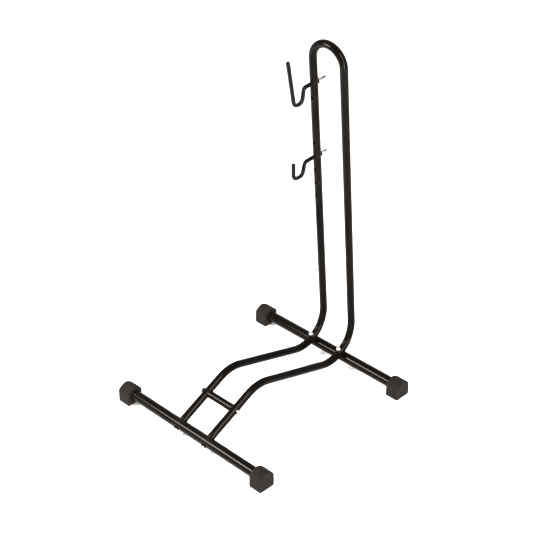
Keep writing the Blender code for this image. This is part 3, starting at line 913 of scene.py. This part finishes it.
@dataclass
class Brace:
    """The short tube between the legs, coped to lie against both."""

    drop: float
    leg_radius: float
    spacing: float
    clearance: float = 0.3 * MM
    sides: int = 64
    wall: float = 1.2 * MM

    def build(self, shop: Workshop) -> None:
        """Makes the brace.

        Its rings lie at shares of its half length. The half length at angle a is the distance
        from the middle to the leg's skin: spacing / 2 - sqrt(reach^2 - h^2), with h the height
        of the ring's point above the leg's axis, square to it.
        """
        middle = centre_of("brace_tube")
        radius = extent_of("brace_tube")[2] / 2
        angle = np.linspace(0, 2 * pi, self.sides, endpoint=False)[None, :]
        share = np.linspace(-1, 1, 15)[:, None]
        ahead, up = radius * np.cos(angle), radius * np.sin(angle)
        square_to_leg = up * cos(self.drop) - ahead * sin(self.drop)
        reach = self.leg_radius + self.clearance
        half = self.spacing / 2 - np.sqrt(reach**2 - square_to_leg**2)
        local = np.stack([share * half, 0 * share + ahead, 0 * share + up], axis=-1)
        surface = Surface.grid(middle + local)
        worn = 0.4 * np.clip(np.abs(local[..., 0]).ravel() / (self.spacing / 2) - 0.7, 0, 0.3) / 0.3
        piece = shop.piece("brace", surface, Finish.PAINT, "stand", ("brace_tube",), worn)
        hollow(piece, self.wall)


@dataclass
class Foot:
    """A moulded block on a cross tube's end: square base, upright sides and a flattened arch."""

    row: str
    side: str
    side_height: float = 6.0 * MM
    arch_power: float = 1.45
    corner_power: float = 13.0
    end_round: float = 3.4 * MM
    inner_round: float = 1.8 * MM
    collar_wide: float = 2.4 * MM
    collar_out: float = 2.2 * MM
    end_wall: float = 4.0 * MM
    bore_gap: float = 0.12 * MM
    lip: float = 0.8 * MM
    lead_in: float = 0.4 * MM
    lead_in_step: float = 0.5 * MM
    points_round: int = 144

    def __post_init__(self) -> None:
        """Reads the block's box and its tube's axis."""
        self.node = f"foot_{self.row}_{self.side}"
        low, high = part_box(self.node)
        self.low, self.high = np.array(low), np.array(high)
        self.axis = centre_of(f"{self.row}_cross_tube")
        self.tube_radius = extent_of(f"{self.row}_cross_tube")[2] / 2
        self.outward = -1.0 if self.side == "left" else 1.0

    def outline(self) -> Array:
        """Distance from the tube's axis to the block's skin, by angle.

        Upwards it is where a ray meets (y / half)^p + ((z - side) / arch)^p = 1, found by
        halving; below that the upright side. The square base is joined to it by the power mean
        (a^-k + b^-k)^(-1/k), which rounds the corner.
        """
        angle = np.linspace(0, 2 * pi, self.points_round, endpoint=False)
        y, z = np.abs(np.cos(angle)) + 1e-9, np.sin(angle)
        half = (self.high[1] - self.low[1]) / 2
        arch = self.high[2] - self.axis[2] - self.side_height
        near, far = np.zeros_like(angle), np.full_like(angle, 2 * half)
        for _ in range(40):
            middle = (near + far) / 2
            over = np.maximum(middle * z - self.side_height, 0) / arch
            outside = (middle * y / half) ** self.arch_power + over**self.arch_power > 1
            near, far = np.where(outside, near, middle), np.where(outside, middle, far)
        base = (self.axis[2] - self.low[2]) / np.maximum(-z, 1e-6)
        return (near**-self.corner_power + base**-self.corner_power) ** (-1 / self.corner_power)

    def profile(self) -> tuple[Array, Array, Array]:
        """Rows of the block from the tube pocket's bottom, out over the block, to its outer end.

        Returns:
            For each row: its place along X from the inner end, how far it lies inside the
            outline, and how much of it is round like the tube rather than like the outline.
        """
        length = self.high[0] - self.low[0]
        quarter = np.linspace(0, pi / 2, 7)
        deep = length - self.end_wall
        bore = self.tube_radius + self.bore_gap
        collar = bore + self.collar_wide
        out, lip = -self.collar_out, self.lip
        rows = [(deep, 0.0, 1.0), (deep, bore, 1.0), (out + self.lead_in, bore, 1.0)]
        rows += [(out, bore + self.lead_in_step, 1.0)]
        rows += [(out + lip * (1 - cos(a)), collar - lip + lip * sin(a), 1.0) for a in quarter]
        rows += [(-lip + lip * sin(a), collar + lip * (1 - cos(a)), 1.0) for a in quarter]
        place = [row[0] for row in rows]
        size = [row[1] for row in rows]
        round_share = [row[2] for row in rows]
        for a in quarter:
            place.append(self.inner_round * (1 - cos(a)))
            size.append(-self.inner_round * (1 - sin(a)))
            round_share.append(0.0)
        for a in quarter:
            place.append(length - self.end_round * (1 - sin(a)))
            size.append(-self.end_round * (1 - cos(a)))
            round_share.append(0.0)
        return np.array(place), np.array(size), np.array(round_share)

    def build(self, shop: Workshop) -> None:
        """Makes the block.

        A row's point stands off the tube's axis by a length that is the row's own size where the
        row is round, and the outline less the row's inset where it isn't.
        """
        place, size, round_share = (values[:, None] for values in self.profile())
        outline = self.outline()[None, :]
        angle = np.linspace(0, 2 * pi, self.points_round, endpoint=False)[None, :]
        reach = round_share * size + (1 - round_share) * (outline + size)
        last = reach[-1:] * np.array([0.72, 0.4, 0.0])[:, None]
        reach = np.concatenate([reach, last])
        place = np.concatenate([place, np.repeat(place[-1:], 3, axis=0)])
        inner_end = self.low[0] if self.outward > 0 else self.high[0]
        x = inner_end + self.outward * place + 0 * angle
        y = self.axis[1] + reach * np.cos(angle)
        z = self.axis[2] + reach * np.sin(angle)
        surface = Surface.grid(np.stack([x, y, z], axis=-1)).welded().outward()
        shop.piece(f"{self.node}_block", surface, Finish.RUBBER, "stand", (self.node,),
                   self.wear(surface.points))

    def wear(self, points: Array) -> Array:
        """Polished where the block's outer edges and base corners are knocked."""
        middle = (self.low + self.high) / 2
        half = (self.high - self.low) / 2
        share = np.abs(points - middle) / half
        ordered = np.sort(share, axis=1)
        return np.clip((ordered[:, 1] - 0.84) / 0.12, 0, 1) * 0.6


# ---------------------------------------------------------------- fasteners


@dataclass(frozen=True)
class Thread:
    """A metric thread: a ridge that climbs one pitch a turn."""

    outer: float = 3.0 * MM
    pitch: float = 1.0 * MM
    depth: float = 0.55 * MM
    chamfer: float = 0.9 * MM

    def surface(self, start: float, end: float, axes: Axes, sides: int = 40) -> tuple[Surface, Array]:
        """The threaded bar from one height to another on its axes.

        The radius at height h and angle a is the outer radius less depth times the distance of
        h / pitch - a / (2 pi) from the nearest whole number, doubled. The far end is chamfered.

        Args:
            start: First height.
            end: Last height, chamfered.
            axes: Where the bar stands.
            sides: Points round the bar.

        Returns:
            The closed surface and how deep in the thread each point lies, from 0 to 1.
        """
        height = np.linspace(start, end, int((end - start) / self.pitch * 10) + 2)
        angle = np.linspace(0, 2 * pi, sides, endpoint=False)
        phase = (height[:, None] / self.pitch - angle[None, :] / (2 * pi)) % 1.0
        ridge = np.clip(2.3 * np.abs(phase - 0.5) - 0.15, 0, 1)
        radius = self.outer - self.depth * (1 - ridge)
        tip = self.outer - np.clip(self.chamfer - (end - height), 0, None)[:, None]
        surface = revolved(np.minimum(radius, tip), height, sides, axes)
        local = (surface.points - axes.origin) @ np.stack([axes.across, axes.side], axis=1)
        depth = np.clip((self.outer - np.hypot(*local.T)) / self.depth, 0, 1)
        return surface, depth


@dataclass(frozen=True)
class Washer:
    """A flat stamped washer with rolled edges."""

    outer: float = 6.0 * MM
    inner: float = 3.3 * MM
    thick: float = 1.2 * MM
    edge: float = 0.3 * MM
    rub_from: float = 0.93
    rub: float = 0.5

    def surface(self, axes: Axes, sides: int = 64) -> Surface:
        """The washer about its axes, centred on their origin: a rounded box carried round."""
        low, high = -self.thick / 2, self.thick / 2
        middle = (self.inner + self.outer) / 2
        parts = [
            rounded_corner((middle, low), (self.outer, low), (self.outer, 0), self.edge, 3),
            rounded_corner((self.outer, 0), (self.outer, high), (middle, high), self.edge, 3),
            rounded_corner((middle, high), (self.inner, high), (self.inner, 0), self.edge, 3),
            rounded_corner((self.inner, 0), (self.inner, low), (middle, low), self.edge, 3),
        ]
        profile = np.concatenate(parts)
        profile = np.concatenate([profile, profile[:1]])
        return ring(profile[:, :1], profile[:, 1:], sides, axes)

    def wear(self, points: Array, middle: Array) -> Array:
        """Rubbed along the outer edge, more with distance from the middle."""
        reach = np.linalg.norm(points - middle, axis=1) / self.outer
        return np.clip((reach - self.rub_from) / (1 - self.rub_from), 0, 1) * self.rub


@dataclass(frozen=True)
class DomeHead:
    """A button head with a rounded crown and a six-sided key socket."""

    radius: float = 4.75 * MM
    height: float = 4.2 * MM
    socket: float = 4.0 * MM
    depth: float = 2.2 * MM
    rim: float = 0.9 * MM
    edge: float = 0.3 * MM
    mouth_share: float = 0.62

    def surface(self, axes: Axes, sides: int = 72) -> Surface:
        """The head, seated on local z = 0 and crowned upwards.

        The crown is a quarter of an ellipse from the rim to the socket's edge. The rows inside
        follow a hexagon down to the socket's floor.
        """
        even = np.ones(sides)
        key = hexagon(self.socket, sides)
        mouth = self.socket * self.mouth_share
        rows = [(even * (self.radius - self.edge), 0.0)]
        rows += [(even * self.radius, height) for height in (self.edge, self.rim)]
        for a in np.linspace(0, pi / 2, 12)[1:]:
            wide = mouth + (self.radius - mouth) * cos(a)
            rows.append((even * wide, self.rim + (self.height - self.rim) * sin(a)))
        rows.append((key * 1.04, self.height - 0.02 * MM))
        rows.append((key, self.height - 0.2 * MM))
        rows.append((key, self.height - self.depth + 0.1 * MM))
        rows.append((key * 0.95, self.height - self.depth))
        radius = np.stack([row[0] for row in rows])
        return revolved(radius, np.array([row[1] for row in rows]), sides, axes)


@dataclass(frozen=True)
class HexNut:
    """A plain nut with chamfered corners and a countersunk bore."""

    flats: float = 10.0 * MM
    height: float = 5.0 * MM
    bore: float = 3.25 * MM
    countersink: float = 0.5 * MM

    def surface(self, axes: Axes, sides: int = 96) -> Surface:
        """The nut, seated on local z = 0.

        Its side follows a hexagon, cut by a cone at both ends: the radius is the smaller of the
        hexagon's and the cone's.
        """
        key = hexagon(self.flats, sides)
        rows = np.array([0.0, 0.15, 0.35, 0.6, 0.9, 2.5, 4.1, 4.4, 4.65, 4.85, 5.0])
        height = rows / rows[-1] * self.height
        slack = np.minimum(height, self.height - height)
        cone = self.flats / 2 * 0.97 + slack * 1.7
        outside = np.minimum(key[None, :], cone[:, None])
        even = np.ones(sides)
        mouth = self.countersink
        low = np.stack([even * self.bore, even * (self.bore + mouth)])
        radius = np.concatenate([low, outside, low[::-1], low[:1]])
        rise = np.concatenate([[mouth, 0.0], height, [self.height, self.height - mouth, mouth]])
        return ring(radius, rise[:, None], sides, axes)


class Hand(Enum):
    """Which leg a fastener belongs to."""

    LEFT = -1
    RIGHT = 1

    @property
    def word(self) -> str:
        """The side's name in node names."""
        return self.name.lower()


@dataclass
class Fasteners:
    """Every bolt, washer and nut that holds the base together."""

    washer: Washer = field(default_factory=Washer)
    head: DomeHead = field(default_factory=DomeHead)
    nut: HexNut = field(default_factory=HexNut)
    thread: Thread = field(default_factory=Thread)
    gap: float = 0.3 * MM
    tail: float = 2.0 * MM

    def stack(self) -> float:
        """From a washer's middle to the face of what lies on it."""
        return self.washer.thick / 2 + self.gap

    def add_washer(self, shop: Workshop, node: str, outward: Array) -> Array:
        """Makes a washer in its node's place and returns its middle."""
        middle = centre_of(node)
        surface = self.washer.surface(Axes.pointing(middle, outward))
        worn = self.washer.wear(surface.points, middle)
        shop.piece(f"{node}_plate", surface, Finish.PAINT, "stand", (node,), worn)
        return middle

    def add_bolt(self, shop: Workshop, node: str, seat: Array, outward: Array, shank: float) -> None:
        """Makes a bolt whose head bears at seat.

        Args:
            shop: Where the piece is made.
            node: The bolt's node.
            seat: Where the head's underside meets the axis.
            outward: From the shank to the head.
            shank: Length under the head.
        """
        head = self.head.surface(Axes.pointing(seat, outward))
        bar, depth = self.thread.surface(0.1 * MM, shank, Axes.pointing(seat, -outward))
        # Painted shade: thread points darken towards the zinc's root colour by 0.8 of their groove
        # depth; the head has none.
        wear = np.concatenate([np.zeros(len(head.points)), depth * 0.8])
        surface = Surface.joined([head, bar])
        shop.piece(f"{node}_screw", surface, Finish.ZINC, "stand", (node,), wear, 32)

    def add_nut(self, shop: Workshop, node: str, outward: Array) -> None:
        """Makes a nut in its node's place, standing outward from its washer."""
        foot = centre_of(node) - outward * self.nut.height / 2
        surface = self.nut.surface(Axes.pointing(foot, outward))
        shop.piece(f"{node}_hex", surface, Finish.ZINC, "stand", (node,), None, 32)

    def build(self, shop: Workshop) -> None:
        """Makes the front, rear and brace fasteners."""
        for hand in Hand:
            self.build_front(shop, hand)
            self.build_rear(shop, hand)
        self.build_brace(shop)

    def build_front(self, shop: Workshop, hand: Hand) -> None:
        """One bolt through the front tube into its leg's plug."""
        node = f"front_bolt_washer_{hand.word}"
        middle = centre_of(node)
        axis = np.array([middle[0], *centre_of("front_cross_tube")[1:]])
        outward = unit(middle - axis)
        self.add_washer(shop, node, outward)
        reach = extent_of(f"front_bolt_{hand.word}")
        tilted_head = 2 * self.head.radius * abs(outward[1] * outward[2])
        shank = hypot(reach[1], reach[2]) - self.head.height - tilted_head
        seat = middle + outward * self.stack()
        self.add_bolt(shop, f"front_bolt_{hand.word}", seat, outward, shank)
        shop.redress(f"leg_end_plug_{hand.word}", Finish.ZINC)

    def build_rear(self, shop: Workshop, hand: Hand) -> None:
        """One bolt through a saddle and the rear tube, with its nut underneath."""
        top = centre_of(f"rear_bolt_washer_{hand.word}")
        axis = np.array([top[0], *centre_of("rear_cross_tube")[1:]])
        outward = unit(top - axis)
        self.add_washer(shop, f"rear_bolt_washer_{hand.word}", outward)
        low = self.add_washer(shop, f"rear_nut_washer_{hand.word}", -outward)
        seat = top + outward * self.stack()
        nut_seat = low - outward * self.stack()
        shank = float((seat - nut_seat) @ outward) + self.nut.height + self.tail
        self.add_bolt(shop, f"rear_bolt_{hand.word}", seat, outward, shank)
        self.add_nut(shop, f"rear_nut_{hand.word}", -outward)

    def build_brace(self, shop: Workshop) -> None:
        """The long bolt through both legs and the brace."""
        right = self.add_washer(shop, "brace_washer_right", X_AXIS)
        left = self.add_washer(shop, "brace_washer_left", -X_AXIS)
        seat = right + X_AXIS * self.stack()
        nut_seat = left - X_AXIS * self.stack()
        shank = float(seat[0] - nut_seat[0]) + self.nut.height + self.tail
        self.add_bolt(shop, "brace_bolt", seat, X_AXIS, shank)
        self.add_nut(shop, "brace_nut", -X_AXIS)


# ---------------------------------------------------------------- hooks


@dataclass(frozen=True)
class HookShape:
    """Side outline of a hook, square to its leg: shank, inner arm, bowl and outer arm."""

    shank: float
    drop: float
    inner_lean: float
    mouth: float
    tip_rise: float
    outer_lean: float
    bowl: float
    thread: float
    shank_radius: float = 7.0 * MM


UPPER_SHAPE = HookShape(0.028, 0.0294, radians(12.5), 0.0218, 0.0674, radians(6), 0.0115, 0.0315)
LOWER_SHAPE = HookShape(0.035, 0.0262, radians(18.5), 0.0249, 0.0082, radians(-4), 0.0105, 0.028)


@dataclass
class Hook:
    """One coated hook with its threaded end, washer and wing nut."""

    word: str
    shape: HookShape
    leg_radius: float
    radius: float = 4.05 * MM
    gap: float = 0.3 * MM
    washer: Washer = field(default_factory=Washer)
    thread: Thread = field(default_factory=Thread)

    def __post_init__(self) -> None:
        """Reads the hook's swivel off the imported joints."""
        joints = {joint["name"]: joint for joint in frame["joints"]}
        swivel = joints[f"{self.word}_hook_swivel"]
        self.origin = np.array(swivel["pos_m"])
        self.back = unit(np.array(swivel["axis"]))
        self.up = np.cross(X_AXIS, self.back)
        self.lean = atan2(self.back[2], self.back[1])

    def path(self) -> FlatPath:
        """Axis of the coated rod as (forward, up) from the swivel."""
        shape = self.shape
        start = np.array([self.leg_radius + self.gap, 0.0])
        shank = np.array([shape.shank, 0.0])
        inner = shank + np.array([shape.drop * tan(shape.inner_lean), -shape.drop])
        outer = inner + np.array([shape.mouth, shape.mouth * tan(self.lean)])
        rise = shape.tip_rise - outer[1]
        tip = outer + np.array([rise * tan(shape.outer_lean), rise])
        corners = np.array([start, shank, inner, outer, tip])
        return FlatPath(corners, (shape.shank_radius, shape.bowl, shape.bowl))

    def sleeve(self) -> tuple[Surface, Array]:
        """The vinyl skin carried along the rod.

        A ring's point stands off the axis by r * (cos a * side in the hook's plane + sin a * X).
        The radius r swells by a few hundredths where the dip ran down to the tip, and closes as
        a quarter ellipse past the last ring; the first rings are a rolled edge at the leg.

        Returns:
            The surface and its wear.
        """
        path = self.path()
        along = path.stations(radians(5), 3 * MM)
        end = path.length()
        edge = np.linspace(0, pi / 2, 6)
        start_along = 1.2 * MM * (1 - np.sin(edge))
        start_size = 1 - 0.28 * (1 - np.cos(pi / 2 - edge))
        body = along[along > 1.5 * MM]
        dome = np.linspace(0, pi / 2, 9)[1:]
        dip_end = 0.05 * np.exp(-(((end - body) / (4 * MM)) ** 2))
        swell = 1 + dip_end + 0.012 * np.sin(body / (5.5 * MM))
        last = swell[-1]
        tip = end + 0.95 * self.radius * np.sin(dome)
        distance = np.concatenate([start_along[::-1], body, tip])
        size = np.concatenate([start_size[::-1], swell, last * np.cos(dome)])
        size[0] = 0.72
        return self.skin(path, distance, size * self.radius)

    def skin(self, path: FlatPath, distance: Array, radius: Array) -> tuple[Surface, Array]:
        """Rings of these radii at these distances, closed at both ends.

        Args:
            path: The rod's axis.
            distance: A distance for each ring.
            radius: A radius for each ring.

        Returns:
            The surface and its wear: 1 low in the bowl, where what hangs there rubs.
        """
        middle, tangent = path.at(distance)
        angle = np.linspace(0, 2 * pi, 40, endpoint=False)[None, :]
        wide = np.concatenate([[0.0], radius, [0.0]])[:, None]
        middle = np.concatenate([middle[:1], middle, middle[-1:]])
        tangent = np.concatenate([tangent[:1], tangent, tangent[-1:]])
        square = np.stack([-tangent[:, 1], tangent[:, 0]], axis=-1)
        flat = middle[:, None, :] + (wide * np.cos(angle))[..., None] * square[:, None, :]
        across = wide * np.sin(angle)
        points = (self.origin + across[..., None] * X_AXIS - flat[..., :1] * self.back
                  + flat[..., 1:] * self.up)
        surface = Surface.grid(points).welded().outward()
        bowl = path.corners[2:4].mean(axis=0) + np.array([0.0, 2 * self.radius])
        spot = self.origin - bowl[0] * self.back + bowl[1] * self.up
        return surface, nearness(surface.points, spot, 16 * MM)

    def build(self, shop: Workshop) -> None:
        """Makes the sleeve, the threaded end, the washer and the wing nut."""
        hook = f"{self.word}_hook"
        skin, wear = self.sleeve()
        shop.piece(f"{hook}_coating", skin, Finish.VINYL, hook, (f"{hook}_sleeve",), wear, 60)
        axes = Axes.pointing(self.origin, self.back)
        bar, depth = self.thread.surface(-self.leg_radius - 2 * MM, self.shape.thread, axes)
        # The whole thread is darkened 0.55 towards the zinc's root colour, and painted shade adds up
        # to 0.4 more in the thread roots.
        thread_darkening = 0.55 + 0.4 * depth
        shop.piece(f"{hook}_thread", bar, Finish.ZINC, hook, (f"{hook}_rod",), thread_darkening, 32)
        node = f"{hook}_washer"
        middle = centre_of(node)
        plate = self.washer.surface(Axes.pointing(middle, self.back))
        worn = self.washer.wear(plate.points, middle)
        shop.piece(f"{node}_plate", plate, Finish.PAINT, f"{self.word}_washer", (node,), worn)
        seat = middle + self.back * (self.washer.thick / 2 + self.gap)
        WingNut().build(shop, self.word, Axes.pointing(seat, self.back))


@dataclass(frozen=True)
class WingNut:
    """A cast wing nut: a tapered hub and two ears that flare away from the seat."""

    base: float = 5.75 * MM
    top: float = 4.5 * MM
    height: float = 6.5 * MM
    bore: float = 3.25 * MM
    span: float = 12.4 * MM
    rise: float = 13.4 * MM
    thick: float = 2.4 * MM
    collar: float = 1.6 * MM
    countersink: float = 0.4 * MM
    fullness: float = 0.7

    def hub(self, axes: Axes) -> Surface:
        """The hub: a rounded, tapered ring about the thread."""
        low, high = 0.0, self.height
        sink = self.countersink
        mouth = self.bore + sink
        shoulder = (self.base, self.collar)
        rim = (self.top, high)
        bore = [(mouth, high), (self.bore, high - sink), (self.bore, low + sink), (mouth, low)]
        parts = [
            np.array([[mouth, low]]),
            rounded_corner((self.bore, low), (self.base, low), (self.base, 1.5 * MM), sink, 4),
            rounded_corner((self.base, 0.5 * MM), shoulder, rim, 0.8 * MM, 4),
            rounded_corner(shoulder, rim, (self.bore, high), 0.5 * MM, 5),
            np.array(bore),
        ]
        profile = np.concatenate(parts)
        return ring(profile[:, :1], profile[:, 1:], 64, axes)

    def ear(self, axes: Axes, sign: float) -> Surface:
        """One ear: a flattened oval carried along a curve from the hub out to the tip.

        The curve rises by the power 1.35 of the way out. The oval's half width grows from the
        root and closes round at the tip as sqrt(1 - way^6); its corners are filled by a power,
        the fullness, of the cosine and the sine.

        Args:
            axes: The nut's axes, third along the thread.
            sign: Which side of the thread the ear is on.

        Returns:
            The ear, closed at both ends.
        """
        way = (1 - np.cos(np.linspace(0, pi, 25))) / 2
        out = self.bore + 0.6 * MM + (self.span - self.bore - 2.4 * MM) * way
        lift = 0.42 * self.height + (self.rise - 0.42 * self.height - 2.6 * MM) * way**1.35
        slope = np.stack([np.gradient(out), np.gradient(lift)], axis=-1)
        slope /= np.linalg.norm(slope, axis=1, keepdims=True)
        square = np.stack([-slope[:, 1], slope[:, 0]], axis=-1)
        close = np.sqrt(np.clip(1 - way**6, 0, 1))
        wide = (2.5 * MM + 1.0 * MM * np.sin(pi * way * 0.8)) * close
        deep = (self.thick / 2) * (1 - 0.18 * way) * np.sqrt(np.clip(1 - way**10, 0, 1))
        wide[0] = deep[0] = 0.0
        angle = np.linspace(0, 2 * pi, 32, endpoint=False)[None, :]
        filled_cos = np.sign(np.cos(angle)) * np.abs(np.cos(angle)) ** self.fullness
        filled_sin = np.sign(np.sin(angle)) * np.abs(np.sin(angle)) ** self.fullness
        radial = out[:, None] + wide[:, None] * filled_cos * square[:, :1]
        height = lift[:, None] + wide[:, None] * filled_cos * square[:, 1:]
        across = deep[:, None] * filled_sin
        local = np.stack([across, sign * radial, height], axis=-1)
        return Surface.grid(axes.world(local)).welded().outward()

    def build(self, shop: Workshop, word: str, axes: Axes) -> None:
        """Makes the nut with both ears."""
        surface = Surface.joined([self.hub(axes), self.ear(axes, 1.0), self.ear(axes, -1.0)])
        node = f"{word}_wing_nut"
        shop.piece(f"{node}_casting", surface, Finish.ZINC, node, (node,), None, 38)


# ---------------------------------------------------------------- studio


@dataclass(frozen=True)
class Softbox:
    """One large soft light that looks at the stand."""

    name: str
    place: tuple[float, float, float]
    size: tuple[float, float]
    watts: float
    colour: tuple[float, float, float] = (1.0, 1.0, 1.0)

    def build(self, target: Vector) -> None:
        """Hangs the light and aims it."""
        light = bpy.data.lights.new(self.name, "AREA")
        light.shape = "RECTANGLE"
        light.size, light.size_y = self.size
        light.energy = self.watts
        light.color = self.colour
        lamp = bpy.data.objects.new(self.name, light)
        bpy.context.scene.collection.objects.link(lamp)
        lamp.location = self.place
        lamp.rotation_euler = (target - lamp.location).to_track_quat("-Z", "Y").to_euler()


@dataclass
class Studio:
    """Floor, light and camera."""

    distance: float = 2.8064
    azimuth: float = radians(44.65)
    elevation: float = radians(32.66)
    roll: float = radians(-0.145)
    lens: float = 97.67
    sensor: float = 36.0
    aim_x: float = -0.0152
    aim_from_front: float = 0.2191
    aim_height: float = 0.2984
    floor_half: float = 6.0
    world_colour: tuple[float, float, float] = (1.0, 1.0, 1.0)
    world_strength: float = 1.0
    lights: tuple[Softbox, ...] = (
        Softbox("left_key", (-0.80, -1.10, 1.03), (0.50, 0.50), 60.0, (1.0, 0.955, 0.905)),
        Softbox("right_strip", (2.1, -0.45, 1.5), (0.35, 2.4), 130.0, (1.0, 0.97, 0.94)),
        Softbox("low_right", (1.9, -0.70, 0.32), (0.30, 0.40), 34.0, (1.0, 0.97, 0.94)),
    )

    def build(self) -> None:
        """Lays the floor, lights the stand and sets the camera."""
        half = self.floor_half
        corners = [(-half, -half, 0), (half, -half, 0), (half, half, 0), (-half, half, 0)]
        mesh = bpy.data.meshes.new("studio_floor")
        mesh.from_pydata(corners, [], [(0, 1, 2, 3)])
        mesh.materials.append(PaleFloor().material())
        floor = bpy.data.objects.new("studio_floor", mesh)
        bpy.context.scene.collection.objects.link(floor)
        depth = centre_of("front_cross_tube")[1] + self.aim_from_front
        target = Vector((self.aim_x, depth, self.aim_height))
        for light in self.lights:
            light.build(target)
        world = bpy.data.worlds.new("studio")
        world.use_nodes = True
        background = world.node_tree.nodes["Background"]
        background.inputs["Color"].default_value = (*self.world_colour, 1.0)
        background.inputs["Strength"].default_value = self.world_strength
        bpy.context.scene.world = world
        bpy.context.scene.view_settings.view_transform = "Standard"
        self.build_camera(target)

    def build_camera(self, target: Vector) -> None:
        """Sets the camera at the viewing angle, looking at target."""
        level = cos(self.elevation)
        back = Vector((sin(self.azimuth) * level, -cos(self.azimuth) * level, sin(self.elevation)))
        camera = bpy.data.cameras.new("camera")
        camera.lens = self.lens
        camera.sensor_width = self.sensor
        viewer = bpy.data.objects.new("camera", camera)
        bpy.context.scene.collection.objects.link(viewer)
        viewer.location = target + back * self.distance
        level_view = (-back).to_track_quat("-Z", "Y")
        viewer.rotation_euler = (level_view @ Quaternion((0, 0, 1), self.roll)).to_euler()
        bpy.context.scene.camera = viewer


def main() -> None:
    """Builds every sub-assembly and the studio."""
    logging.basicConfig(level=logging.INFO, format="%(message)s")
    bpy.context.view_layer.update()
    shop = Workshop()
    tube = FrameTube()
    tube.build(shop)
    for row in ("front", "rear"):
        CrossTube(row).build(shop)
        for hand in Hand:
            Foot(row, hand.word).build(shop)
    drop = atan2(tube.hump_rise, tube.hump_run)
    Brace(drop, tube.radius, tube.spacing).build(shop)
    Fasteners().build(shop)
    Hook("upper", UPPER_SHAPE, tube.radius).build(shop)
    Hook("lower", LOWER_SHAPE, tube.radius).build(shop)
    Studio().build()


if __name__ == "__main__":
    main()
